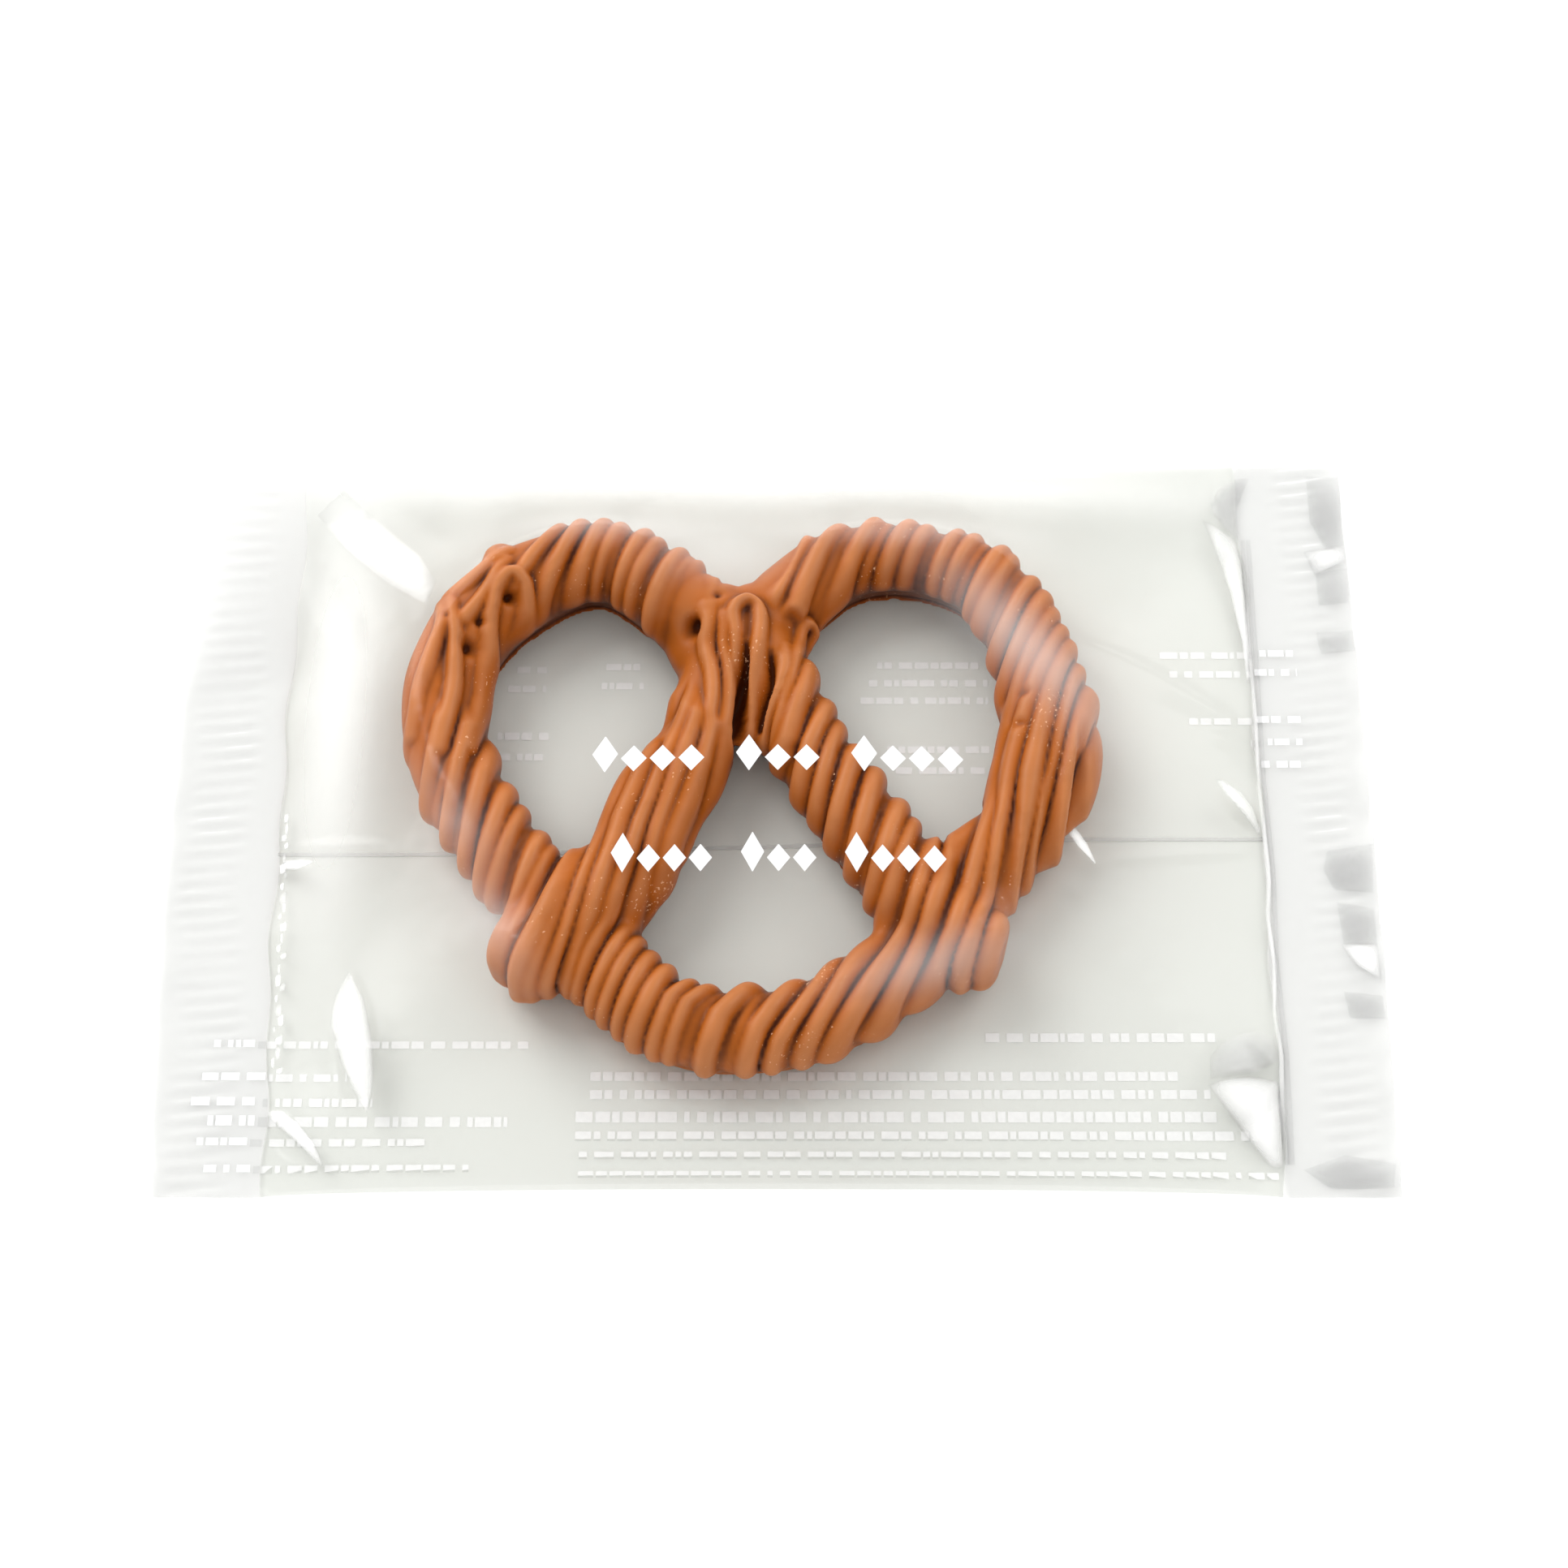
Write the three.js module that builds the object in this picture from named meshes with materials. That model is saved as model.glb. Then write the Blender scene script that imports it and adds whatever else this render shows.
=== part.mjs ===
// A chocolate-coated pretzel in a clear sealed flow pack, lying flat with its printed side up.
// Millimetres, +Z up. The pack's length runs along X, the back film rests on z = 0,
// and the origin is under the middle of the pack. The viewer stands on the -Y side.
// The pack is one closed solid of its true outer form: flat end seals whose free margins ripple,
// a back film that lies flat and turns up at the folded long edges and at the far left corner,
// and a front film drawn tight over the pretzel, whose rope carries it like tent poles.

import * as THREE from 'three';

// The pack
const PACK_LENGTH = 138.4;
const PACK_WIDTH = 94.6;
const SEAL_WIDTH = 12.6;
const SEAL_THICKNESS = 0.5;
const SEAL_FLARE = 0.6; // each end seal is this much wider, on both sides, than the filled middle
const LEFT_BULGE = 1.6; // the left end bows outward by this much at mid-width
const RIGHT_BULGE = 0.4;
const FOLD_LIFT = 1.2; // how far the folded long edges stand off the table at mid-length
const FOLD_HEIGHT = 1.1; // height of the rounded fold itself at mid-length
const FOLD_REACH = 9; // the back film turns up over this distance
const CORNER_LIFT = 6.8; // the far left corner curls up
const CORNER_REACH = 32;
const CORNER_CURVE = 1.15; // 1 would be a straight slope, more a curl
const LEFT_WAVE = 0.4; // the free outer margins of the seals ripple by this much
const RIGHT_WAVE = 0.9;
const WAVE_PITCH = 12.5;
const SHORT_WAVE_PITCH = 7.9;
const WAVE_INSET = 5; // the ripple starts this far in from the outer end
const FILM_COLOUR = 0xe4e5df;

// The pretzel's rope, from the end at the lower left over the knot, round the right lobe, along
// the bottom and round the left lobe, back over the knot to the end at the lower right.
// Each row is x, y, the height of the rope's centre, and its width.
const ROPE_ROUTE = [
  [-26.2, -21.3, 6.6, 10.2],
  [-15.7, -9.9, 6.1, 10.9],
  [-12.5, -2.1, 5.8, 11.0],
  [-8.2, 5.0, 5.5, 9.7],
  [-5.5, 17.5, 5.3, 9.6],
  [1.7, 24.9, 5.5, 10.6],
  [8.6, 30.4, 5.3, 9.6],
  [17.2, 31.0, 5.3, 8.9],
  [25.3, 27.4, 5.5, 9.3],
  [30.1, 17.9, 5.6, 10.2],
  [32.0, 7.8, 5.5, 12.1],
  [30.1, -2.2, 5.5, 11.8],
  [23.1, -12.3, 5.3, 10.2],
  [13.9, -23.5, 5.0, 9.9],
  [1.5, -29.8, 4.8, 9.8],
  [-11.7, -28.4, 4.8, 10.1],
  [-22.3, -17.7, 5.1, 10.0],
  [-31.2, -6.9, 5.1, 10.2],
  [-36.9, 4.4, 5.0, 11.1],
  [-37.4, 16.0, 5.3, 11.1],
  [-30.6, 26.2, 5.4, 11.5],
  [-19.8, 30.5, 5.4, 10.2],
  [-11.0, 25.0, 5.8, 10.9],
  [-2.6, 18.6, 6.9, 9.6],
  [2.8, 9.4, 6.0, 8.8],
  [5.1, 3.7, 5.7, 9.7],
  [8.3, -1.5, 5.5, 10.5],
  [17.0, -15.1, 6.3, 10.6],
  [21.8, -20.4, 6.6, 10.2],
];
const ROPE_SAMPLES = 220;
const FILM_CLEARANCE = 0.8; // the film lies on the drizzled ridges, this far off the rope

// The grid that carries the front film
const SEAL_CELLS = 4;
const BODY_CELLS = 54;
const WIDTH_CELLS = 42;
const RELAX_STEPS = 500;
const AIR_PUFF = 0.008; // curvature that the enclosed air gives the free film, per millimetre

// The back film's rings, as insets from the outline, before it lies flat
const BACK_INSETS = [3, FOLD_REACH, 17, 26];

// How much of the pack's fill shows at distance x along it: 0 at the seals, 1 at mid-length
function fillAt(x) {
  const reach = PACK_LENGTH / 2 - SEAL_WIDTH;
  const along = Math.min(1, Math.abs(x) / reach);
  return Math.sqrt(1 - along * along);
}

// Half the pack's width at distance x along it
function halfWidthAt(x) {
  return PACK_WIDTH / 2 + SEAL_FLARE * (1 - fillAt(x));
}

// Half the pack's length at distance y across it, on the side that x lies
function halfLengthAt(x, y) {
  const bulge = x < 0 ? LEFT_BULGE : RIGHT_BULGE;
  const across = Math.min(1, Math.abs(y) / (PACK_WIDTH / 2));
  return PACK_LENGTH / 2 - bulge * across * across;
}

// A point of the plan, from shares u and v of the half length and half width, each from -1 to 1
function planPoint(u, v) {
  const y = v * halfWidthAt(u * PACK_LENGTH / 2);
  return [u * halfLengthAt(u, y), y];
}

// The ripple of a seal's free margin, from 0 to 1, which varies along the seal
function rippleAt(y) {
  const long = Math.cos(2 * Math.PI * y / WAVE_PITCH);
  const short = Math.cos(2 * Math.PI * y / SHORT_WAVE_PITCH);
  return 0.5 - 0.3 * long - 0.2 * short;
}

// How far the back film stands off the table
function backHeight(x, y) {
  const toFold = halfWidthAt(x) - Math.abs(y);
  const turnUp = Math.max(0, 1 - toFold / FOLD_REACH);
  const corner = Math.hypot(x + PACK_LENGTH / 2, y - PACK_WIDTH / 2);
  const curl = Math.max(0, 1 - corner / CORNER_REACH) ** CORNER_CURVE;
  const toEnd = halfLengthAt(x, y) - Math.abs(x);
  const margin = Math.max(0, 1 - toEnd / WAVE_INSET);
  const wave = x < 0 ? LEFT_WAVE : RIGHT_WAVE;
  return FOLD_LIFT * fillAt(x) * turnUp ** 2 + CORNER_LIFT * curl + wave * margin * rippleAt(y);
}

// Evenly spaced places along the rope, each with the rope's width there
function ropeSamples() {
  const route = new THREE.CatmullRomCurve3(
    ROPE_ROUTE.map(([x, y, z]) => new THREE.Vector3(x, y, z)), false, 'centripetal');
  const samples = [];
  for (let k = 0; k <= ROPE_SAMPLES; k += 1) {
    const t = route.getUtoTmapping(k / ROPE_SAMPLES);
    const row = Math.min(ROPE_ROUTE.length - 2, Math.floor(t * (ROPE_ROUTE.length - 1)));
    const share = t * (ROPE_ROUTE.length - 1) - row;
    const width = (1 - share) * ROPE_ROUTE[row][3] + share * ROPE_ROUTE[row + 1][3];
    samples.push({ place: route.getPoint(t), width });
  }
  return samples;
}

// The highest point of the film's support over (x, y): the rope's upper side, or nothing
function ropeHeight(samples, x, y) {
  let top = 0;
  for (const { place, width } of samples) {
    const reach = width / 2 + FILM_CLEARANCE;
    const away = (place.x - x) ** 2 + (place.y - y) ** 2;
    if (away < reach ** 2) {
      top = Math.max(top, place.z + Math.sqrt(reach ** 2 - away));
    }
  }
  return top;
}

// Shares of the half length where the grid's columns stand, closer inside the seals
function columnShares() {
  const sealShare = SEAL_WIDTH / (PACK_LENGTH / 2);
  const shares = [];
  for (let i = 0; i < SEAL_CELLS; i += 1) {
    shares.push(-1 + sealShare * i / SEAL_CELLS);
  }
  for (let i = 0; i <= BODY_CELLS; i += 1) {
    shares.push((1 - sealShare) * (2 * i / BODY_CELLS - 1));
  }
  for (let i = SEAL_CELLS - 1; i >= 0; i -= 1) {
    shares.push(1 - sealShare * i / SEAL_CELLS);
  }
  return shares;
}

// The front film's height over every grid point: pinned at the seals and folds, drawn tight
// between them, lifted a little by the air, and never lower than the rope
function frontHeights(columns, rows) {
  const samples = ropeSamples();
  const cellX = 2 * (PACK_LENGTH / 2 - SEAL_WIDTH) / BODY_CELLS;
  const cellY = PACK_WIDTH / WIDTH_CELLS;
  const weightX = 1 / cellX ** 2;
  const weightY = 1 / cellY ** 2;
  const supports = columns.map((u) => rows.map((v) => ropeHeight(samples, ...planPoint(u, v))));
  const heights = columns.map((u, i) => rows.map((v, j) => {
    const [x, y] = planPoint(u, v);
    const onFold = j === 0 || j === rows.length - 1;
    const fold = onFold ? FOLD_HEIGHT * fillAt(x) : 0;
    return Math.max(backHeight(x, y) + SEAL_THICKNESS + fold, supports[i][j]);
  }));
  const firstFree = SEAL_CELLS + 1;
  const lastFree = SEAL_CELLS + BODY_CELLS - 1;
  for (let step = 0; step < RELAX_STEPS; step += 1) {
    for (let i = firstFree; i <= lastFree; i += 1) {
      for (let j = 1; j < rows.length - 1; j += 1) {
        const alongX = weightX * (heights[i - 1][j] + heights[i + 1][j]);
        const alongY = weightY * (heights[i][j - 1] + heights[i][j + 1]);
        const drawn = (alongX + alongY + AIR_PUFF) / (2 * weightX + 2 * weightY);
        heights[i][j] = Math.max(drawn, supports[i][j]);
      }
    }
  }
  return heights;
}

// The index pairs of the grid's outline, anticlockwise from the near left corner
function outlineLoop(columnCount, rowCount) {
  const loop = [];
  for (let i = 0; i < columnCount - 1; i += 1) {
    loop.push([i, 0]);
  }
  for (let j = 0; j < rowCount - 1; j += 1) {
    loop.push([columnCount - 1, j]);
  }
  for (let i = columnCount - 1; i > 0; i -= 1) {
    loop.push([i, rowCount - 1]);
  }
  for (let j = rowCount - 1; j > 0; j -= 1) {
    loop.push([0, j]);
  }
  return loop;
}

// Triangles between two loops of points, the first outside or above the second
function joinLoops(indices, upper, lower) {
  for (let i = 0; i < upper.length; i += 1) {
    const next = (i + 1) % upper.length;
    indices.push(upper[i], lower[i], upper[next]);
    indices.push(upper[next], lower[i], lower[next]);
  }
}

function packetGeometry() {
  const columns = columnShares();
  const rows = [];
  for (let j = 0; j <= WIDTH_CELLS; j += 1) {
    rows.push(2 * j / WIDTH_CELLS - 1);
  }
  const heights = frontHeights(columns, rows);
  const positions = [];
  const indices = [];
  const addPoint = (x, y, z) => {
    positions.push(x, y, z);
    return positions.length / 3 - 1;
  };

  // Front film
  const front = columns.map((u, i) => rows.map((v, j) => addPoint(...planPoint(u, v), heights[i][j])));
  for (let i = 0; i < columns.length - 1; i += 1) {
    for (let j = 0; j < rows.length - 1; j += 1) {
      const corners = [front[i][j], front[i + 1][j], front[i + 1][j + 1], front[i][j + 1]];
      indices.push(corners[0], corners[1], corners[2]);
      indices.push(corners[0], corners[2], corners[3]);
    }
  }

  // Outer edge, then the back film ring by ring
  const loop = outlineLoop(columns.length, rows.length);
  let outer = loop.map(([i, j]) => front[i][j]);
  for (const inset of [0, ...BACK_INSETS]) {
    const shareX = 1 - inset / (PACK_LENGTH / 2);
    const shareY = 1 - inset / (PACK_WIDTH / 2);
    const ring = loop.map(([i, j]) => {
      const [x, y] = planPoint(columns[i] * shareX, rows[j] * shareY);
      return addPoint(x, y, backHeight(x, y));
    });
    joinLoops(indices, outer, ring);
    outer = ring;
  }

  // The flat middle of the back film, seen from below
  const middle = outer.map((index) => new THREE.Vector2(positions[3 * index], positions[3 * index + 1]));
  for (const [a, b, c] of THREE.ShapeUtils.triangulateShape(middle, [])) {
    indices.push(outer[a], outer[c], outer[b]);
  }

  const geometry = new THREE.BufferGeometry();
  geometry.setAttribute('position', new THREE.Float32BufferAttribute(positions, 3));
  geometry.setIndex(indices);
  geometry.computeVertexNormals();
  return geometry;
}

const packet = new THREE.Mesh(
  packetGeometry(),
  new THREE.MeshStandardMaterial({ color: FILM_COLOUR, roughness: 0.15, metalness: 0 }),
);
packet.name = 'pretzel_packet';

const part = new THREE.Group();
part.add(packet);

export default part;
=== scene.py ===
import math

import bpy
import numpy as np
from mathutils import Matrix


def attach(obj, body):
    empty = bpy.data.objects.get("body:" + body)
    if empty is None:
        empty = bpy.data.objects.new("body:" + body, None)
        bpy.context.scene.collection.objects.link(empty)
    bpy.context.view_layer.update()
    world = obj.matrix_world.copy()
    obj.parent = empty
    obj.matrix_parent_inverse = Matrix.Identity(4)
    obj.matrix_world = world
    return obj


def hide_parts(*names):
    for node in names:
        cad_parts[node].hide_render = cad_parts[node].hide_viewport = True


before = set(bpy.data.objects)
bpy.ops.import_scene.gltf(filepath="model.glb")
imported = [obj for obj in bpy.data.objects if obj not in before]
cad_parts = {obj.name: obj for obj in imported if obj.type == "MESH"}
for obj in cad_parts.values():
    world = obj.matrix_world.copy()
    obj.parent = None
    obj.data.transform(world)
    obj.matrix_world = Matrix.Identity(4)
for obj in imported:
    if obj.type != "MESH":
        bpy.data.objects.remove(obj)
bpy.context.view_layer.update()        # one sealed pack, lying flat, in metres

MM = 0.001
NODE = "pretzel_packet"

# The pack, in millimetres, as the solid has it
PACK_LENGTH = 138.4
PACK_WIDTH = 94.6
SEAL_WIDTH = 12.6
SEAL_THICKNESS = 0.5
SEAL_FLARE = 0.6
LEFT_BULGE = 1.6
RIGHT_BULGE = 0.4
FOLD_LIFT = 1.2
FOLD_HEIGHT = 1.1
FOLD_REACH = 9
CORNER_LIFT = 6.8
CORNER_REACH = 32
CORNER_CURVE = 1.15
LEFT_WAVE = 0.4
RIGHT_WAVE = 0.9
WAVE_PITCH = 12.5
SHORT_WAVE_PITCH = 7.9
WAVE_INSET = 5
AIR_PUFF = 0.008
FILM_CLEARANCE = 0.8

# The rope's route: x, y and height of its centre, and its width, from end to end
ROPE_ROUTE = [
    (-29.9, -26.3, 5.8, 9.4),
    (-26.2, -21.3, 6.6, 10.2),
    (-15.7, -9.9, 6.1, 10.9),
    (-12.5, -2.1, 5.8, 11.0),
    (-8.2, 5.0, 5.5, 9.7),
    (-5.5, 17.5, 5.3, 9.6),
    (1.7, 24.9, 5.5, 10.6),
    (8.6, 30.4, 5.3, 9.6),
    (17.2, 31.0, 5.3, 8.9),
    (25.3, 27.4, 5.5, 9.3),
    (30.1, 17.9, 5.6, 10.2),
    (32.0, 7.8, 5.5, 12.1),
    (30.1, -2.2, 5.5, 11.8),
    (23.1, -12.3, 5.3, 10.2),
    (13.9, -23.5, 5.0, 9.9),
    (1.5, -29.8, 4.8, 9.8),
    (-11.7, -28.4, 4.8, 10.1),
    (-22.3, -17.7, 5.1, 10.0),
    (-31.2, -6.9, 5.1, 10.2),
    (-36.9, 4.4, 5.0, 11.1),
    (-37.4, 16.0, 5.3, 11.1),
    (-30.6, 26.2, 5.4, 11.5),
    (-19.8, 30.5, 5.4, 10.2),
    (-11.0, 25.0, 5.8, 10.9),
    (-2.6, 18.6, 6.9, 9.6),
    (2.8, 9.4, 6.0, 8.8),
    (5.1, 3.7, 5.7, 9.7),
    (8.3, -1.5, 5.5, 10.5),
    (17.0, -15.1, 6.3, 10.6),
    (21.8, -20.4, 6.6, 10.2),
    (25.4, -24.9, 5.8, 9.2),
]
# Coating that has run together in the corners of the holes: short stretches like the rope's own
WEBS = [
    [(-13.6, 25.4, 4.6, 6.6), (-10.2, 20.6, 4.8, 7.0), (-7.6, 14.2, 4.8, 7.4)],
    [(6.0, 27.4, 4.6, 6.4), (2.6, 21.2, 5.0, 6.6), (0.6, 15.4, 5.0, 6.8)],
    [(-3.2, 13.0, 4.6, 5.6), (-2.0, 9.2, 4.4, 5.2), (-0.8, 4.6, 3.8, 4.6)],
    [(-13.6, -11.0, 4.4, 6.0), (-16.2, -15.4, 4.4, 6.4), (-17.8, -19.2, 4.4, 6.4)],
]
# The coating has run down the rope's sides: a second, narrower rope lies this much lower
SKIRT_DROP = 2.5
SKIRT_SHARE = 0.84
BASE_HEIGHT = 0.2
ROPE_SAMPLES = 420
# The rope is swollen, fused and shrunk again, which fills the corners where its strands meet
SWELL = 1.9
SWOLLEN_VOXEL = 0.55
VOXEL = 0.357
FILLET_PASSES = 12

# The drizzle: strings of chocolate laid side by side, all in one direction across the pretzel.
# A string's place is its distance across that direction, and it bows a little along it.
DRIZZLE_ANGLE = math.radians(69)
DRIZZLE_BOW = 2.4
DRIZZLE_BOW_LENGTH = 100
# Each string's places at the four distances along it, from front to rear, then its height and
# half width
STRING_KNOTS = (-30, -12, 5, 22)
STRINGS = [
    (-36.2, -38.0, -39.0, -39.0, 1.0, 1.2),
    (-33.0, -35.1, -36.5, -33.0, 1.0, 1.1),
    (-30.3, -32.0, -32.6, -31.0, 0.9, 1.1),
    (-27.3, -29.0, -29.6, -28.1, 1.0, 1.2),
    (-26.0, -27.1, -27.5, -26.2, 1.0, 1.2),
    (-22.7, -23.9, -24.2, -23.3, 1.1, 1.25),
    (-21.5, -22.4, -22.6, -21.4, 0.7, 1.0),
    (-19.1, -19.4, -19.0, -18.5, 1.1, 1.25),
    (-17.9, -18.2, -17.8, -17.0, 0.8, 1.0),
    (-16.2, -16.9, -14.9, -15.6, 0.9, 1.0),
    (-14.4, -15.0, -13.2, -13.3, 1.0, 1.2),
    (-12.8, -12.8, -11.4, -11.0, 0.9, 1.1),
    (-10.6, -10.8, -9.8, -9.5, 0.9, 1.1),
    (-9.0, -8.9, -7.7, -6.0, 1.1, 1.2),
    (-6.7, -7.0, -6.0, -2.7, 1.0, 1.2),
    (-4.8, -4.0, 1.2, 0.7, 1.1, 1.3),
    (-2.4, 3.8, 3.6, 4.8, 1.0, 1.2),
    (-0.5, 6.0, 6.0, 6.7, 0.9, 1.2),
    (3.4, 8.6, 8.8, 10.5, 1.2, 1.35),
    (7.8, 11.4, 11.6, 12.4, 1.0, 1.2),
    (10.1, 14.6, 15.5, 15.9, 1.1, 1.2),
    (12.9, 16.5, 17.4, 17.5, 1.0, 1.2),
    (15.3, 19.4, 20.3, 20.9, 1.1, 1.25),
    (18.2, 21.7, 22.8, 23.0, 1.1, 1.3),
    (20.6, 24.8, 25.4, 24.9, 0.9, 1.1),
    (25.0, 26.6, 27.1, 26.6, 1.0, 1.1),
    (27.4, 29.0, 29.4, 28.3, 1.1, 1.3),
    (30.0, 31.3, 31.3, 30.7, 0.7, 0.9),
    (32.4, 33.2, 33.2, 32.9, 1.0, 1.2),
    (35.0, 35.4, 35.7, 35.4, 0.9, 1.2),
]
STRING_WANDER = 0.12
# A half circle would have 0.5 and a parabola 1
PROFILE_POWER = 0.85
# Strings that touch run together: 1 would add their heights, a large number keeps them apart
STRING_BLEND = 5.0
# Fine strings that cross the others at a slight slant
FINE_STRINGS = 9
FINE_PITCH = 9.3
FINE_HEIGHT = 0.28
FINE_HALF_WIDTH = 0.8
# Strings given one by one over the knot and where the drizzle turned back at the far left:
# x, y, height and half width along each
TRACED_STRINGS = [
    [(-10.6, 14.5, 0.0, 1.3), (-10.9, 11.5, 0.4, 1.3), (-11.4, 8.0, 0.5, 1.2), (-11.7, 4.6, 0.6, 1.1)],
    [(-7.4, 21.2, 0.3, 1.2), (-7.4, 18.6, 0.9, 1.2), (-7.3, 16.0, 0.9, 1.1), (-6.8, 13.4, 0.9, 1.0),
     (-6.7, 10.2, 1.0, 1.0), (-7.1, 5.9, 1.0, 1.0), (-7.6, 1.5, 0.8, 1.0)],
    [(-5.3, 20.0, 0.4, 1.0), (-5.3, 16.5, 0.7, 1.0), (-4.9, 13.6, 1.0, 1.0), (-5.0, 10.4, 1.0, 1.0),
     (-5.7, 5.1, 0.9, 0.9), (-6.5, 0.8, 0.6, 0.9)],
    [(-4.3, 20.4, 0.8, 0.8), (-4.0, 17.0, 0.8, 0.8), (-4.2, 14.0, 0.5, 0.8), (-4.5, 12.5, 0.0, 0.8)],
    [(-4.5, 18.5, 0.5, 0.8), (-4.4, 20.2, 0.9, 0.9), (-4.0, 21.3, 1.1, 0.9), (-2.9, 22.1, 1.2, 0.9),
     (-1.8, 21.6, 1.2, 0.9), (-1.3, 19.6, 1.1, 1.0), (-1.4, 16.0, 1.1, 1.0), (-1.8, 12.3, 1.1, 1.0),
     (-2.1, 9.2, 1.0, 0.9), (-2.4, 6.8, 0.6, 0.9)],
    [(2.0, 16.4, 0.2, 0.9), (1.6, 13.8, 0.8, 1.0), (0.8, 10.8, 1.0, 1.0), (0.0, 8.0, 0.9, 0.9),
     (-0.7, 5.6, 0.7, 0.9)],
    [(0.7, 3.8, 0.8, 1.0), (1.3, 7.2, 1.0, 1.0), (1.8, 10.0, 1.0, 0.9), (2.5, 13.2, 0.9, 0.8),
     (3.0, 16.5, 0.8, 0.7), (3.4, 19.2, 0.8, 0.7), (3.8, 20.6, 0.9, 0.7), (4.5, 21.1, 1.0, 0.7),
     (5.0, 20.4, 0.9, 0.7), (4.7, 18.4, 0.8, 0.7), (4.1, 15.4, 0.9, 0.8), (3.3, 11.0, 1.0, 0.9),
     (2.6, 6.6, 1.0, 0.9), (1.9, 2.8, 0.8, 0.9)],
    [(-31.0, 29.8, 0.6, 1.0), (-31.9, 28.7, 0.9, 1.0), (-33.9, 26.6, 0.9, 1.0), (-35.8, 24.8, 0.8, 1.0),
     (-37.6, 23.6, 0.5, 1.0)],
    [(-38.3, 22.6, 0.5, 1.0), (-38.0, 19.8, 1.0, 1.0), (-39.2, 15.4, 0.9, 1.1), (-40.0, 12.4, 0.8, 1.1),
     (-40.4, 10.5, 0.8, 1.0), (-40.6, 8.5, 0.7, 1.0), (-41.1, 5.5, 0.6, 1.0)],
    [(-31.2, 28.0, 0.5, 1.0), (-31.9, 26.2, 0.9, 1.0), (-32.9, 23.9, 0.9, 1.0), (-34.2, 21.7, 0.9, 1.0),
     (-35.6, 20.0, 0.6, 1.0)],
    [(-37.3, 22.6, 0.6, 0.9), (-36.8, 20.0, 0.9, 0.9), (-36.4, 17.4, 1.1, 1.0), (-36.4, 14.6, 1.2, 1.0),
     (-36.4, 11.0, 1.1, 1.1), (-36.8, 7.8, 1.0, 1.1), (-37.2, 5.4, 1.0, 1.2), (-37.6, 3.0, 0.9, 1.2)],
    [(-34.5, 3.2, 0.9, 1.1), (-33.9, 6.6, 0.9, 1.1), (-33.4, 10.5, 1.0, 1.0), (-33.2, 13.9, 1.0, 1.0),
     (-32.8, 17.0, 1.1, 1.0), (-32.7, 19.7, 1.1, 1.0), (-32.3, 22.3, 1.2, 1.0), (-31.5, 24.8, 1.2, 1.0),
     (-30.2, 26.0, 1.3, 1.0), (-28.9, 25.2, 1.3, 1.0), (-28.5, 22.9, 1.2, 1.0), (-29.0, 20.6, 0.8, 1.0),
     (-29.9, 18.6, 0.2, 1.0)],
    [(26.0, 13.9, 0.4, 0.6), (27.0, 9.6, 0.6, 0.6), (27.6, 6.0, 0.6, 0.6), (27.8, 4.2, 0.4, 0.6)],
    [(26.4, 4.6, 0.2, 0.9), (26.2, 2.6, 0.7, 0.9), (25.7, 0.5, 0.8, 0.9), (24.9, -2.1, 0.6, 0.9)],
]
# Deep furrows: x, y, depth and half width along each
FURROWS = [
    [(-2.9, 16.2, 0.3, 0.5), (-3.0, 13.6, 1.4, 0.7), (-3.3, 10.6, 2.0, 0.8), (-3.6, 8.0, 2.2, 0.9),
     (-4.0, 5.0, 1.6, 0.9)],
    [(0.0, 15.4, 0.3, 0.5), (0.1, 13.6, 1.2, 0.7), (0.0, 11.6, 1.4, 0.7), (-0.5, 9.2, 1.0, 0.6),
     (-1.1, 6.9, 0.6, 0.5)],
    [(31.9, 4.0, 0.1, 1.0), (31.6, -2.5, 0.5, 1.1), (31.3, -5.7, 0.8, 1.1), (30.6, -9.1, 0.8, 1.1),
     (29.8, -12.0, 0.4, 1.0)],
    [(35.1, 6.5, 0.1, 0.6), (34.9, 3.6, 0.5, 0.7), (34.7, -0.4, 0.8, 0.8), (34.2, -4.3, 0.8, 0.8),
     (33.6, -6.8, 0.4, 0.7)],
    [(28.2, -1.6, 0.1, 0.6), (27.5, -6.4, 0.5, 0.7), (26.8, -10.4, 0.8, 0.8), (26.1, -13.6, 0.8, 0.8),
     (25.3, -17.0, 0.3, 0.7)],
]
# Pits between crossing strings: x, y, radius and depth
PITS = [
    (-9.1, 19.4, 0.9, 1.8),
    (-6.2, 22.9, 0.5, 0.6),
    (-4.8, 27.6, 1.9, 2.4),
    (-30.4, 23.1, 0.7, 1.6),
    (-33.7, 19.6, 0.5, 0.8),
    (-34.9, 16.4, 0.9, 1.3),
    (-37.5, 20.2, 0.4, 0.4),
    (29.5, 9.7, 0.6, 0.5),
    (28.8, 5.7, 0.6, 0.5),
]
# Where the strings given one by one take the others' place: x, y and both radii
HAND_LAID = [
    (-3.8, 16.0, 6.8, 9.0),
    (-35.4, 18.0, 7.0, 10.5),
]
TRACE_STEP = 0.25
HOLLOW_PASSES = 16
# On their way down the sides the strings sink into the coating
STRING_FOOT = 0.6
FRONT_FOOT = 0.7
HOLE_FOOT = 2.2
FOOT_FADE = 2.6
LUMP_HEIGHT = 0.1
# Painted shade: the coating is coloured darker on the walls of the holes, as far as they are lower than
# this
WALL_PAINTED_SHADE = 0.2
WALL_TOP = 8.5
# The thin rim of coating round the base
RIM_REACH = 0.35
RIM_HEIGHT = 0.5
RIM_SPREAD = 0.45
# Smooth places that the strings miss: across, along, half width, half length
SMOOTH_PATCHES = [
    (-14.6, 15.0, 2.6, 8.0),
    (-7.6, 27.0, 2.6, 6.5),
    (-3.0, 17.8, 1.6, 3.2),
]

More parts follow.
